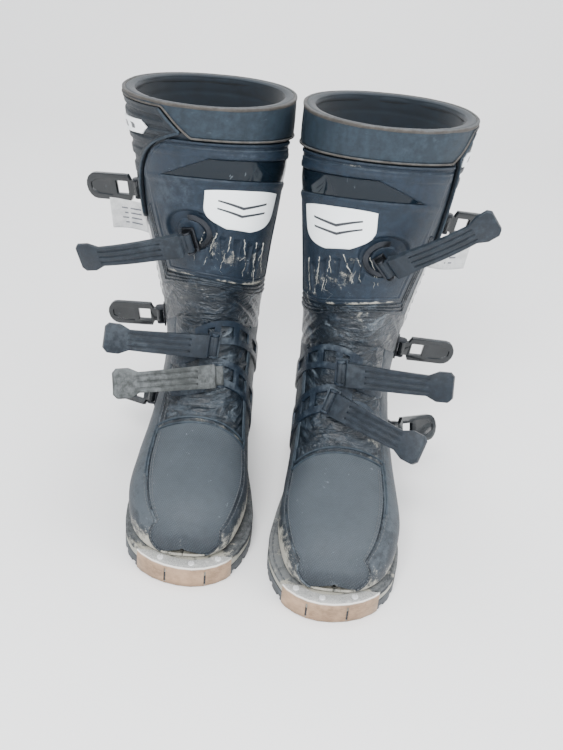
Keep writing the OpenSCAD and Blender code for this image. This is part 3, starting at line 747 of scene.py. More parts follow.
def woven(name, color, scale=1500.0, rough=0.9, dust=None):
    """Woven cloth: crossing threads, with painted shade between them."""
    m = Make(name)
    uv = m.place((1, 1, 1), (0, 0, 0), True)
    x = m.node("ShaderNodeMath", {"operation": "SINE"}, {0: m.axis(uv, 0) * scale * 3.2})
    y = m.node("ShaderNodeMath", {"operation": "SINE"}, {0: m.axis(uv, 1) * scale * 3.2})
    weave = 0.5 + 0.5 * (x * y)
    fine = m.noise(90.0, 4.0, 0.7)
    shade = m.mix(m.step(fine, 0.3, 0.75), tone(color, 0.65), tone(color, 1.35))
    # painted shade: the low points of the weave are darkened to 0.55 of the cloth's colour
    shade = m.mix(weave, tone(color, 0.55), shade)
    if dust:
        shade = m.mix(m.step(m.noise(18.0, 5.0, 0.65) + 0.25 * upward(m), 0.55, 0.95) * 0.5, shade, dust)
    return m.finish(shade, rough, weave + fine, 0.5, 0.0004, sheen=0.12)


def gloss(name, color, dust, rough=0.14, dusty=0.12, coat=0.1, spec=0.4):
    """Glossy moulded plastic with finger marks and fine scratches."""
    m = Make(name)
    fine = m.noise(120.0, 4.0, 0.7)
    smear = m.noise(24.0, 5.0, 0.6, m.place((1, 1, 2.2)), 0.8)
    specks = m.step(m.noise(900.0, 2.0, 0.8), 0.66, 0.8) * dusty
    amount = m.step(smear + 0.3 * upward(m), 0.55, 1.0) * dusty + specks
    shade = m.mix(clamp_wire(m, amount), color, dust)
    stretch = m.noise(1.0, 3.0, 0.5, m.place((200, 900, 90), (0.2, 0.5, 0.9)), 0.4)
    scratch = m.step(stretch, 0.70, 0.74) * 0.35
    shade = m.mix(clamp_wire(m, scratch), shade, tone(dust, 1.2))
    finish = rough + amount * 1.2 + m.step(fine, 0.5, 0.8) * 0.12
    return m.finish(shade, finish, fine + scratch, 0.08, 0.0004, coat=coat, spec=spec)


def steel_toe(name, color):
    """Worn toe steel: brown-tinted band, bright rolled edge, dusty flange."""
    m = Make(name)
    z = m.axis(m.place(), 2) * 1000.0
    fine = m.noise(1.0, 4.0, 0.65, m.place((260, 260, 1600)))
    blot = m.noise(60.0, 5.0, 0.65)
    speck = m.noise(1300.0, 2.0, 0.8)
    band = m.mix(m.step(blot, 0.35, 0.7), tone(color, 0.72), tone(color, 1.25))
    band = m.mix(m.step(fine, 0.45, 0.75) * 0.5, band, tone(color, 1.5))
    edge = m.step(z, 18.6, 20.3)
    band = m.mix(edge, band, (0.86, 0.84, 0.80))
    flange = m.step(m.axis(m.node("ShaderNodeNewGeometry", None, None, 1), 2), 0.6, 0.9)
    grit = m.mix(m.step(speck + blot * 0.4, 0.5, 0.9), (0.20, 0.21, 0.21), (0.50, 0.50, 0.48))
    band = m.mix(flange * m.step(blot + 0.2 * speck, 0.3, 0.55), band, grit)
    low = m.step(5.0 - z + (blot - 0.5) * 5.0, 0.0, 4.0)
    band = m.mix(low * 0.45, band, tone(color, 0.4))
    metal = clamp_wire(m, 0.9 - flange * 0.75 - low * 0.3)
    return m.finish(band, 0.36 + 0.25 * flange + (blot - 0.5) * 0.2, fine + blot * 0.4, 0.25,
                    0.0004, metal=metal)


def bright_metal(name, color, rough=0.3, metal=1.0):
    """Plain metal with darker blots."""
    m = Make(name)
    fine = m.noise(700.0, 3.0, 0.7)
    blot = m.noise(90.0, 4.0, 0.6)
    shade = m.mix(m.step(blot, 0.5, 0.75), color, tone(color, 0.45))
    return m.finish(shade, rough + (fine - 0.5) * 0.2, fine, 0.2, 0.0002, metal=metal)


def sole_side(name, color, dust, streak=0.5):
    """Rubber or foam edge of the sole with dirt in streaks."""
    m = Make(name)
    fine = m.noise(190.0, 4.0, 0.72)
    run = m.noise(1.0, 5.0, 0.65, m.place((45, 45, 420)))
    speck = m.noise(1200.0, 2.0, 0.8)
    shade = m.mix(m.step(fine, 0.3, 0.72), tone(color, 0.78), tone(color, 1.15))
    shade = m.mix(m.step(run, 0.48, 0.7) * streak, shade, dust)
    shade = m.mix(m.step(speck, 0.64, 0.74) * 0.5, shade, tone(dust, 0.5))
    height = fine + 0.6 * run
    return m.finish(shade, 0.68 + (fine - 0.5) * 0.2, height, 0.4, 0.0006)


MATERIALS = {}


def make_materials():
    """Fills MATERIALS with one finish for each kind of piece."""
    scene = bpy.context.scene
    lea, hard, sole = scene.boot_leather, scene.boot_hardware, scene.boot_sole
    dust = tuple(lea.dust)
    d = lea.dustiness
    M = MATERIALS
    M["dark"] = worn("Creased_dark_leather", tuple(lea.dark), dust, 700.0, 0.5, 0.36, d * 0.42, 0.6, 0.05,
                     "mud", spec=0.38, creases=1.15)
    M["shaft"] = worn("Smooth_shaft_leather", tuple(lea.dark), dust, 1000.0, 0.3, 0.46, d * 0.6,
                      0.4, 0.05, "mud")
    M["quarter"] = worn("Side_leather", tone(tuple(lea.vamp), 0.75), tone(dust, 0.74), 1100.0, 0.25, 0.52,
                        d * 0.9, 0.5, 0.0, "mud")
    M["vamp"] = scaled_leather("Scaled_toe_leather", tuple(lea.vamp), dust, d * 0.55)
    M["collar"] = worn("Collar_band", tuple(lea.collar), tone(dust, 0.82), 1600.0, 0.2, 0.55, d * 0.7,
                       0.3, 0.0, "mud")
    M["rim"] = worn("Worn_rim", (0.055, 0.050, 0.045), tone(dust, 0.8), 1400.0, 0.3, 0.62, d, 0.3)
    M["rib"] = worn("Ribbed_panel", (0.010, 0.014, 0.019), dust, 1800.0, 0.2, 0.55, d * 0.35, 0.2)
    M["plate"] = worn("Moulded_plate", tuple(hard.plate), dust, 2600.0, 0.15, 0.48, d * 0.5,
                      0.45, 0.0, "mud")
    M["ladder"] = worn("Moulded_ladder", tone(tuple(hard.plate), 0.9), dust, 2200.0, 0.2,
                       0.42, d * 0.8, 0.6)
    M["strap"] = worn("Moulded_strap", tuple(hard.strap), tone(dust, 0.72), 2600.0, 0.12, 0.4,
                      d * 0.45, 0.35)
    M["muddy_strap"] = worn("Muddy_strap", (0.045, 0.05, 0.05), (0.125, 0.135, 0.14), 1500.0, 0.5,
                            0.7, 0.95, 0.8)
    M["gloss"] = gloss("Gloss_black", tuple(hard.buckle), dust)
    M["band"] = gloss("Gloss_band", (0.004, 0.008, 0.013), dust, 0.10, 0.05, 0.0, 0.22)
    M["badge"] = gloss("White_badge", tuple(hard.badge), (0.35, 0.36, 0.35), 0.32, 0.3)
    M["ink"] = gloss("Badge_lines", (0.02, 0.024, 0.03), dust, 0.4, 0.1)
    M["lining"] = woven("Navy_lining", (0.0035, 0.010, 0.018), 900.0, 0.92, (0.011, 0.020, 0.029))
    M["footbed"] = woven("Footbed_cloth", (0.05, 0.055, 0.065), 700.0, 0.95)
    M["label"] = woven("White_label", (0.80, 0.82, 0.83), 1800.0, 0.8)
    M["print"] = woven("Label_lines", (0.16, 0.17, 0.20), 1800.0, 0.85)
    M["steel"] = steel_toe("Toe_steel", tuple(hard.steel))
    M["screw"] = bright_metal("Screw_steel", (0.80, 0.81, 0.82), 0.3, 0.35)
    M["pin"] = bright_metal("Dark_metal", (0.038, 0.041, 0.047), 0.42)
    M["shank"] = bright_metal("Shank_steel", (0.45, 0.45, 0.46), 0.4)
    M["outsole"] = sole_side("Outsole_rubber", tuple(sole.rubber), tone(dust, 0.8), 0.7)
    M["cream"] = sole_side("Cream_midsole", tuple(sole.cream), (0.17, 0.16, 0.13), 0.45)
    M["welt"] = worn("Welt_rubber", (0.02, 0.024, 0.029), (0.22, 0.23, 0.23), 900.0, 0.4, 0.6, 0.7,
                     0.7, 0.0, "mud")
    M["thread"] = woven("Grey_thread", (0.085, 0.095, 0.105), 2400.0, 0.8)
    M["pale_thread"] = woven("Pale_thread", (0.42, 0.43, 0.42), 2400.0, 0.8)
    M["mud"] = worn("Dry_mud", (0.42, 0.42, 0.38), (0.60, 0.60, 0.56), 900.0, 0.6, 0.85, 0.6, 0.2)


# ---------------------------------------------------------------- sole
def loft(boot, name, levels, material, mask=None):
    """A slab with the sole's outline; levels are (offset, height) in millimetres from its foot up."""
    count = 240
    rings = [np.concatenate([outline(off, count), np.full((count, 1), z)], 1) for off, z in levels]
    pts = boot.world(np.concatenate(rings))
    faces = []
    n = len(rings)
    for i in range(n - 1):
        m = i + 1
        for k in range(count):
            l = (k + 1) % count
            faces.append((i * count + k, m * count + k, m * count + l, i * count + l))
    faces.append(tuple(range(count)))
    faces.append(tuple(reversed(range((n - 1) * count, n * count))))
    if boot.left:
        faces = [tuple(reversed(f)) for f in faces]
    step = np.concatenate([[0], np.cumsum(np.linalg.norm(np.diff(outline(0, count), axis=0),
                                                         axis=1))]) / 1000
    uv = np.concatenate([np.stack([step, np.full(count, r[0, 2] / 1000)], 1) for r in rings])
    obj = add_mesh(boot.name(name), pts, [tuple(reversed(f)) for f in faces], material, uv,
                   {k: f(pts) for k, f in (mask or {}).items()})
    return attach(obj, "feet")


def edge_mud(pts):
    """How much mud lies on the welt, most at the toe."""
    p = pts * 1000
    toe = p[:, 1] - p[:, 1].min()
    return clamp(0.22 + 0.45 * lattice(p / 13, 5) + 0.35 * lattice(p / 4, 6) + 0.6 * smooth(34, 12, toe))


def build_sole(boot):
    """Midsole and welt edges, the welt's stitches, outsole, toe plate and footbed."""
    o = softened(boot.name("outsole"), MATERIALS["outsole"], 0.0009)
    mid = loft(boot, "midsole_edge", MIDSOLE_EDGE, MATERIALS["cream"])
    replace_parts(mid, boot.name("midsole"))
    welt = loft(boot, "welt_strip", WELT_EDGE,
                MATERIALS["welt"], mask={"mud": edge_mud})
    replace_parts(welt, boot.name("welt"))
    # stitches in the welt's groove, except below the steel
    p = outline(-3.65, 900)
    line = boot.world(np.concatenate([p, np.full((900, 1), 19.95)], 1))
    keep = line[:, 1] > line[:, 1].min() + 0.019
    start = int(np.argmax(keep & ~np.roll(keep, 1)))
    line, keep = np.roll(line, -start, 0), np.roll(keep, -start)
    s = stitches(boot, "welt_stitches", [line[keep]], MATERIALS["thread"], "feet", 0.0042, 0.0006)
    plate = softened(boot.name("toe_plate"), MATERIALS["steel"], 0.00035)
    bed = softened(boot.name("insole"), MATERIALS["footbed"], 0.0012)


# ---------------------------------------------------------------- foot leather
def mud_near(boot, kind):
    """Mud in creases and along seams: returns a mask function for panel kind."""
    def mask(u, v, s, th):
        p = boot.at(s, th) * 1000
        n = 0.5 + 0.5 * lattice(p / 11, 21)
        m = 0.5 + 0.5 * lattice(p / 30, 22)
        if kind == "vamp":
            return 0.42 * smooth(1.6, 0.5, s) * (0.2 + n) + 0.5 * smooth(0.90, 1.0,
                u) * n + 0.28 * smooth(0.08, 0.0, v) * n
        if kind == "quarter":
            low = smooth(60, 22, p[..., 2]) * smooth(-70, -150, p[..., 1] - boot.oy)
            return 0.75 * low * (0.35 + m) + 0.16 * n
        if kind == "quarter_inner":
            low = smooth(70, 22, p[..., 2]) * smooth(-60, -140, p[..., 1] - boot.oy)
            return 0.9 * low * (0.4 + m) + 0.14 * n
        if kind == "instep":
            return 0.55 * m * n + 0.22 * smooth(0.45, 0.1, v) + 0.2 * smooth(0.1, 0.0, u)
        if kind == "gaiter":
            return 0.5 * m * n + 0.25 * np.cos(np.radians(th + 40)).clip(0)
        if kind == "collar":
            return 0.5 * m * n * smooth(0.8, 0.2, u)
        return 0.35 * m * n
    return mask


def fold_depth():
    """Depth of the folds in millimetres."""
    return bpy.context.scene.boot_leather.wrinkle * 1000


def build_vamp(boot):
    """Lattice-pressed leather over the toes."""
    def place(u, v):
        s = VAMP_TOP * u ** 0.8
        return s, vamp_outer(s) + (vamp_inner(s) - vamp_outer(s)) * v

    def height(u, v, s, th):
        crown = 0.5 * smooth(0.2, 0.35, v) * smooth(0.9, 0.7, v) * smooth(0, 0.25, u)
        return LEATHER + crown + 0.25 * boot.bumps(s, th, 24, 3) * smooth(0, 0.2, u)
    vamp = shell(boot, "vamp_leather", place, 0.0, height, 90, 90, MATERIALS["vamp"], soft=0.9,
                 mask={"mud": mud_near(boot, "vamp")}, body="feet", foot=False)
    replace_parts(vamp, boot.name("vamp"))


def build_quarters(boot):
    """Side leather of the foot, outer and inner."""
    for kind, sign in (("quarter_outer", -1), ("quarter_inner", 1)):
        def lo(s, sign=sign):
            return np.minimum(vamp_outer(s), -42) - 1.2 if sign < 0 else np.maximum(vamp_inner(s), 60) + 1.6

        def place(u, v, sign=sign, lo=lo):
            s0 = lerp(0.9, 9.2, u)
            th0 = lo(s0) + (sign * 179 - lo(s0)) * v
            s = lerp(0.9, flex_lo(th0) - 0.06, u)
            return s, lo(s) + (sign * 179 - lo(s)) * v

        def height(u, v, s, th, sign=sign):
            p = boot.at(s, th) * 1000
            bent = folds(p / np.array([16, 16, 9]), 11) * smooth(6.0, 7.6, s) * smooth(0.9, 0.7, v)
            return LEATHER + 0.3 * lattice(p / 26, 9) + 0.45 * bent
        q = shell(boot, kind + "_leather", place, 0.0, height, 100, 60, MATERIALS["quarter"], soft=0.9,
                  mask={"mud": mud_near(boot, "quarter" if sign < 0 else "quarter_inner")}, body="feet")
        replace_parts(q, boot.name(kind))


def build_instep(boot):
    """Creased leather between the vamp and the ankle."""
    deep = fold_depth()

    def place(u, v):
        th = lerp(-43, 62, v)
        return lerp(VAMP_TOP + 0.05, flex_lo(th) - 0.05, u), th

    def height(u, v, s, th):
        p = boot.at(s, th) * 1000
        f = folds(p / np.array([30, 13, 6.5]) + 0.5 * lattice(p / 18, 31)[..., None], 32)
        hem = 0.9 * smooth(0.16, 0.12, v) * smooth(0.0, 0.03, v)
        return LEATHER - 0.5 + deep * 0.75 * f * smooth(0, 0.12, u) * (0.5 + 0.5 * smooth(0, 0.15, v)) + hem
    ins = shell(boot, "instep_leather", place, 0.0, height, 110, 80, MATERIALS["dark"], soft=0.9,
                mask={"mud": mud_near(boot, "instep")}, body="feet")
    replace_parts(ins, boot.name("instep_panel"))


def build_strap_pads(boot):
    """Raised oval pads below the two lower straps."""
    def height(u, v, s, th):
        return LEATHER + 0.4 + 1.5 * np.sqrt(clamp(1 - u ** 4)) + 0.25 * boot.bumps(s, th, 7, 41)
    for k, (s0, th0) in enumerate(((7.25, -22), (6.3, -16))):
        def place(u, v, s0=s0, th0=th0):
            a = v * 2 * math.pi
            return s0 + 0.36 * u * np.sin(a), th0 + 24 * u * np.cos(a)
        pad = shell(boot, f"strap_pad_{k}", place, LEATHER - 0.3, height, 14, 40, MATERIALS["ladder"],
                    wrap=True, soft=0.0, body="feet")


def build_heel(boot):
    """Moulded heel cup."""
    def place(u, v):
        return lerp(7.9, 9.75, u) - 0.35 * np.abs(2 * v - 1) ** 2 * u, lerp(-118, -242, v)

    def height(u, v, s, th):
        groove = 0.5 * (smooth(0.3, 0.33, u) - smooth(0.36, 0.39, u))
        return SHELL - 1.1 * np.abs(2 * v - 1) + 0.5 * smooth(0.86, 0.9, u) - groove
    heel = shell(boot, "heel_cup", place, SHELL_IN, height, 50, 60, MATERIALS["plate"], soft=1.0,
                 mask={"mud": mud_near(boot, "quarter")}, body="feet")
    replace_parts(heel, boot.name("heel_counter"))


def build_foot_seams(boot):
    """Stitches and piping of the foot."""
    s = np.concatenate([np.linspace(0.86, 1.8, 40), np.linspace(1.85, 5.0, 40)])
    a, b = vamp_outer(s), vamp_inner(s)
    lift = LEATHER + 0.15 + 0.5 * smooth(2.6, 1.6, s)
    lines = [boot.at(s, a + d, lift) for d in (2.4, 5.0)]
    st = stitches(boot, "vamp_stitches", lines + [boot.at(s, b - 3.0, lift)], MATERIALS["thread"], "feet")
    seam = piping(boot, "vamp_edges", [boot.at(s, a - 0.6, lift - 0.2), boot.at(s, b + 0.8, lift - 0.2)],
                  0.0009, MATERIALS["dark"], "feet")
    th = np.linspace(-42, 60, 60)
    top = VAMP_TOP + 0.02 * np.cos(np.radians(th * 2))
    path = np.concatenate([np.stack([np.linspace(3.6, 4.9, 10), np.full(10, -43.0)], 1),
                           np.stack([top, th], 1),
                           np.stack([np.linspace(5.15, 8.2, 30), np.full(30, 61.5)], 1)])
    pipe = [boot.at(path[:, 0] + d, path[:, 1] + e, LEATHER + 0.1) for d, e in ((0.0, 0.0), (0.16, -3.0))]
    pp = piping(boot, "vamp_piping", pipe, 0.0011, MATERIALS["collar"], "feet")
    s = np.linspace(5.2, 8.1, 30)
    side = stitches(boot, "flex_stitches", [boot.at(s, np.full(30, x), LEATHER + 0.25)
                                            for x in (-41.5, -36.5)], MATERIALS["thread"], "feet")
    s = np.linspace(1.4, 8.6, 60)
    rows = [boot.at(s, np.minimum(vamp_outer(s), -42) - 4.5, LEATHER + 0.1),
            boot.at(s, np.maximum(vamp_inner(s), 60) + 4.5, LEATHER + 0.1)]
    stitches(boot, "quarter_stitches", rows, MATERIALS["thread"], "feet")


def build_foot_fittings(boot):
    """Ladder straps and the fixed halves of the lower buckles."""
    kinds = (("ladder_straps", "ladder", "moulded_plastic"), ("buckle_bases", "pin", "dark_metal"))
    for kind, key, slot in kinds:
        softened(boot.name(kind), MATERIALS[key], 0.00035)


def build_gaiter(boot):
    """Creased ring of leather at the ankle."""
    deep = fold_depth()

    def place(u, v):
        th = v * 360
        return flex_lo(th) - 0.12 + (flex_hi(th) - flex_lo(th) + 0.24) * u, th

    def height(u, v, s, th):
        p = boot.at(s, th) * 1000
        wave = folds(np.stack([np.cos(np.radians(th)) * 1.6, np.sin(np.radians(th)) * 1.6, s * 3.4], -1),
                     51)
        fade = smooth(0, 0.12, u) * smooth(1, 0.88, u)
        return 1.0 + fade * (0.3 + deep * 0.8 * wave + 0.35 * lattice(p / 9, 52))
    g = shell(boot, "ankle_leather", place, -0.5, height, 60, 150, MATERIALS["dark"], wrap=True, soft=0.0,
              mask={"mud": mud_near(boot, "gaiter")})
    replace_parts(g, boot.name("ankle_gaiter"))
    z0, z1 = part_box(boot.name("ankle_gaiter"))
    boot.name("shaft")
    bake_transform(g)


# ---------------------------------------------------------------- shaft
def shin_edges(s, tip):
    """Angles of the shin plate's two side edges at station s."""
    k = (s - SHIN_BOTTOM) / SHIN_SPAN
    return np.maximum(SHIN_START - 10 * k, rib_front(s, tip) + 3), 80 - 2 * k


def shin_low(th):
    """Station of the shin plate's bottom edge at angle th."""
    return SHIN_BOTTOM + 1.3 * (1 - np.cos(np.radians(1.25 * (th - 8))))


def shin_place(u, v, tip):
    """Place on the shin plate: u goes up, v goes from the outer to the inner side."""
    s = lerp(shin_low(SHIN_START + 124 * v), COLLAR_LOW - 0.12, u)
    a, b = shin_edges(s, tip)
    return s, a + (b - a) * v


def build_shaft_leather(boot):
    """Shaft, calf panel and gusset."""
    body = boot.name("shaft")
    mud = {"mud": mud_near(boot, "shaft")}

    def strip(kind, th0, th1, nu, nv, relief, material):
        def place(u, v):
            th = th0 + (th1 - th0) * v
            return flex_hi(th) + (TOP - 0.15 - flex_hi(th)) * u, th
        obj = shell(boot, kind + "_panel", place, 0.0, relief, nu, nv, material, soft=0.9,
                    mask=mud, body=body)
        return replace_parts(obj, boot.name(kind))

    def shaft_relief(u, v, s, th):
        p = boot.at(s, th) * 1000
        welt_line = 0.7 * np.exp(-((th - 70) / 1.6) ** 2) + 0.7 * np.exp(-((th - 76) / 1.6) ** 2)
        bent = folds(p / np.array([26, 26, 8]), 62) * smooth(0.28, 0.0, u)
        return LEATHER + 0.3 * lattice(p / 22, 61) + 0.7 * bent + welt_line

    def gusset_relief(u, v, s, th):
        p = boot.at(s, th) * 1000
        sunk = 0.7 * smooth(0.06, 0.12, v) * smooth(0.94, 0.88, v)
        return LEATHER - sunk + 0.25 * lattice(p / 3, 63) + 0.4 * folds(p / np.array([20, 20, 12]), 64)

    def calf_relief(u, v, s, th):
        seams = np.exp(-((v - 0.12) / 0.02) ** 2) + np.exp(-((v - 0.8) / 0.02) ** 2)
        return LEATHER + 0.4 * boot.bumps(s, th, 25, 65) + 0.5 * seams

    strip("shaft_leather", -74, 179, 90, 130, shaft_relief, MATERIALS["shaft"])
    strip("calf_panel", -179, -115.5, 60, 40, calf_relief, MATERIALS["shaft"])
    strip("gusset", -114.5, -75.5, 90, 40, gusset_relief, MATERIALS["dark"])


def build_shin_plate(boot):
    """Moulded plate with slots, ridges and a round recess below the top strap."""
    body = boot.name("shaft")
    root = strap_seat_at(boot)
    tip = boot.tip

    def relief(u, v, s, th):
        p = boot.at(s, th) * 1000
        edge = np.minimum(np.minimum(v * 120, (1 - v) * 120), u * 150)
        h = SHELL - 0.9 + 0.9 * smooth(3.0, 4.4, edge)
        h -= 0.7 * smooth(5.5, 6.3, edge) * smooth(8.4, 7.6, edge) * smooth(12.9, 12.2, s)
        ridge = smooth(13.16, 13.28, s) * smooth(14.1, 13.98, s)
        h += 0.8 * ridge * (1 - 0.6 * smooth(13.32, 13.4, s) * smooth(13.92, 13.86, s))
        inside = smooth(13.33, 13.36, s) * smooth(13.9, 13.87, s) * smooth(-0.5, 0.8,
            th - band_start(s)) * smooth(79, 76, th)
        h -= 2.2 * inside
        h -= 1.6 * smooth(14.16, 14.21, s) * smooth(14.34, 14.29, s)
        for c in (4.0, 16.0, 28.5, 41.0, 53.0):
            x = (s - 10.55) / 1.15
            w = 0.6 + 2.6 * clamp(x)
            slot = smooth(w + 0.8, w - 0.4, np.abs(th - c - (c - 28) * (x - 0.5) * 0.12)) * smooth(0.0,
                0.12, x) * smooth(1.0, 0.86, x)
            h -= 2.3 * slot
            h += 0.7 * smooth(w + 3.0, w + 0.8, np.abs(th - c)) * (1 - slot) * smooth(0.0, 0.2,
                x) * smooth(1.05, 0.86, x)
        r = np.linalg.norm(p - root, axis=-1)
        h += 1.0 * smooth(27.0, 22.5, r)
        h -= 2.9 * smooth(21.8, 20.2, r) * smooth(10.0, 13.5, r)
        return h + 0.25 * lattice(p / 30, 66)

    def plate_mud(u, v, s, th):
        p = boot.at(s, th) * 1000
        n = 0.5 + 0.5 * lattice(p / 8, 71)
        m = 0.5 + 0.5 * lattice(p / 22, 72)
        return (0.95 * n * smooth(0.035, 0.0, u) + 0.85 * m * n * smooth(0.09, 0.02, np.abs(s - 14.25))
                + 0.62 * n * smooth(12.1, 11.5, s) * smooth(-8, 6, th) * smooth(68, 54, th)
                * smooth(9.9, 10.6, s))
    plate = shell(boot, "shin_guard", lambda u, v: shin_place(u, v, tip), SHELL_IN, relief, 250, 190,
                  MATERIALS["plate"], soft=1.1, mask={"mud": plate_mud}, body=body)
    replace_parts(plate, boot.name("shin_plate"))


def build_gloss_band(boot):
    """Glossy band in the plate's recess."""
    body = boot.name("shaft")

    def place(u, v):
        s = lerp(BAND_LOW, BAND_HIGH, u)
        a = band_start(s)
        return s, a + (77.5 - a) * v

    def height(u, v, s, th):
        return SHELL - 1.1 + 0.5 * np.sin(u * math.pi)
    band = shell(boot, "gloss_band", place, SHELL - 2.4, height, 16, 100, MATERIALS["band"],
                 soft=0.6, body=body)


def build_shaft_seams(boot):
    """Piping that frames the plate's foot, and the seams at the back."""
    body = boot.name("shaft")
    tip = boot.tip
    lines = []
    for gap in (2.8, 5.8, 8.6):
        v = np.linspace(-0.02, 1.02, 70)
        low = shin_place(0.0 * v, v, tip)[0]
        foot_s = low - gap * 0.03
        foot_t = SHIN_START + 124 * v - gap * np.linspace(1, -1, 70)
        rise = np.linspace(12.6, low[0] + 0.1, 30)
        side = shin_edges(rise, tip)[0] - gap
        lines.append(boot.at(np.concatenate([rise, foot_s]), np.concatenate([side, foot_t]), LEATHER + 0.3))
    piping(boot, "plate_piping", lines, 0.00115, MATERIALS["dark"], body)
    back = [boot.at(np.linspace(12.3, 15.7, 50), np.full(50, x), LEATHER + 0.2)
            for x in (-116, -121, 150, 154)]
    stitches(boot, "shaft_stitches", back, MATERIALS["thread"], body)


def band_start(s):
    """Where the glossy band begins on the outer side: its end slants to a point."""
    return -33 + 36 * clamp((s - BAND_LOW) / (BAND_HIGH - BAND_LOW)) ** 0.9


def strap_seat_at(boot):
    """Middle of the round recess below the top strap's root, in millimetres."""
    return boot.at(*STRAP_SEAT, SHELL) * 1000


def build_badge(boot):
    """A plain shield with two chevrons."""
    body = boot.name("shaft")

    def place(u, v):
        w = 1 - 0.66 * clamp((0.62 - u) / 0.62) ** 2.6
        mid, half = 31.5, 31.0
        return lerp(11.98, 13.14, u) + 0.03 * (v - 0.5) - 0.05 * np.abs(2 * v - 1) ** 3 * u, mid - 3 * (1
            - u) - half * w + 2 * half * w * v

    badge = shell(boot, "plain_badge", place, SHELL + 0.1, SHELL + 1.35, 40, 50, MATERIALS["badge"],
                  soft=1.1, body=body)
    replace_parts(badge, boot.name("shin_badge"))
    for k in range(2):
        base = 0.74 - 0.2 * k

        def bar(u, v, base=base):
            vv = 0.17 + 0.66 * v
            rise = 0.16 * (1 - np.abs(2 * v - 1))
            return place(base - rise + 0.055 * (u - 0.5) * (1.3 - 0.5 * np.abs(2 * v - 1)), vv)
        mark = shell(boot, f"badge_chevron_{k}", bar, SHELL + 1.25, SHELL + 1.5, 4, 40, MATERIALS["ink"],
                     soft=0.25, body=body)


def build_cracks(boot):
    """Dried mud in thin branching runs below the badge."""
    body = boot.name("shaft")
    rng = np.random.default_rng(bpy.context.scene.boot_stage.seed + (1 if boot.left else 0))
    parts = []
    for c in (-2, 10, 22, 35, 47, 58):
        s, th = 11.75 + rng.uniform(-0.08, 0.08), c + rng.uniform(-2, 2)
        branches = [(s, th, -0.35 * (1 if c < 30 else -0.4), 26 + int(rng.integers(0, 12)), 1.0)]
        while branches:
            s, th, drift, n, thick = branches.pop()
            path = []
            for k in range(n):
                path.append((s, th, thick))
                s -= 0.034 + rng.uniform(0, 0.014)
                th += drift + rng.uniform(-0.75, 0.75)
                thick *= 0.965
                if s < 10.05:
                    break
                if k in (6, 14) and rng.uniform() < 0.55:
                    branches.append((s, th, drift * -1.2 + rng.uniform(-0.9, 0.9), 9, thick * 0.8))
            if len(path) > 3:
                path = np.array(path)
                line = boot.at(path[:, 0], path[:, 1], SHELL - 0.05)
                r = 0.0007 * path[:, 2] * (0.45 + 0.75 * rng.uniform(size=len(path)))
                r[-1] *= 0.3
                parts.append(sweep(line, r, 6, squash=0.6))
    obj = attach(add_mesh(boot.name("dry_mud_runs"), *merge(parts), MATERIALS["mud"]), body)


def build_collar_band(boot):
    """Smooth band round the top."""
    body = boot.name("shaft")

    def place(u, v):
        th = v * 360
        lo = collar_lo(th, boot.tip)
        return lo + (TOP - 0.16 - lo) * u, th

    def relief(u, v, s, th):
        p = boot.at(s, th) * 1000
        return SHELL - 0.6 - 0.7 * smooth(0.10, 0.0, u) + 0.35 * lattice(p / 28, 81)
    band = shell(boot, "collar_band", place, SHELL_IN, relief, 40, 200, MATERIALS["collar"],
                 wrap=True, soft=0.0,
                 mask={"mud": mud_near(boot, "collar")}, body=body)
    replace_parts(band, boot.name("collar"))


def build_rim(boot):
    """Thin rolled rim, the lining's top edge behind it, and the cord below the collar."""
    body = boot.name("shaft")
    count = 220
    th = np.arange(count) * 360 / count
    wob = lattice(np.stack([np.cos(np.radians(th)) * 5, np.sin(np.radians(th)) * 5, th * 0], -1), 83)

    def ring(profile, name, material, lift=0.25):
        pts = np.stack([boot.at(TOP + q[0] + 0.0 * th, th, q[1] + lift * wob) for q in profile],
                       1).reshape(-1, 3)
        n = len(profile)
        faces = [(j * n + k, j * n + (k + 1) % n, ((j + 1) % count) * n + (k + 1) % n,
                  ((j + 1) % count) * n + k) for j in range(count) for k in range(n)]
        if not boot.left:
            faces = [tuple(reversed(f)) for f in faces]
        uv = np.stack([np.repeat(th / 360 * 0.44, n), np.tile(np.arange(n) * 0.0015, count)], 1)
        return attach(add_mesh(boot.name(name), pts, faces, material, uv), body)
    ring(RIM, "rolled_rim", MATERIALS["rim"])
    ring(LINING_EDGE, "lining_edge", MATERIALS["lining"])
    tt = np.linspace(0, 360, 240)
    low = boot.at(collar_lo(tt, boot.tip) + 0.012, tt, LEATHER + 2.9)
    edge = piping(boot, "collar_edge", [low], 0.0009, MATERIALS["rim"], body)


def build_lining(boot):
    """Padded lining with three seams."""
    body = boot.name("shaft")

    def place(u, v):
        th = v * 360
        return flex_hi(th) + 0.08 + (TOP - 0.1 - flex_hi(th) - 0.08) * u, th

    def inner(u, v, s, th):
        seams = sum(np.exp(-((th - angle) / 1.3) ** 2) for angle in (262, 318, 90))
        ridge = 0.9 * np.exp(-((u - 0.86) / 0.012) ** 2)
        return -5.0 + 1.1 * seams - 0.5 * boot.bumps(s, th, 21, 91) + ridge
    lining = shell(boot, "padded_lining", place, inner, -0.6, 70, 130, MATERIALS["lining"], wrap=True,
                   soft=0.0, body=body)
    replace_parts(lining, boot.name("liner"))


def rib_place(u, v, tip):
    """Place on the ribbed panel: u goes up, v goes from front to rear."""
    w = clamp(u / 0.75)
    s = lerp(12.3, TOP - 0.36, u)
    a = rib_front(s, tip)
    b = lerp(-72, -118, w) + np.maximum(0, u - 0.75) * 24
    return s, a + (b - a) * v


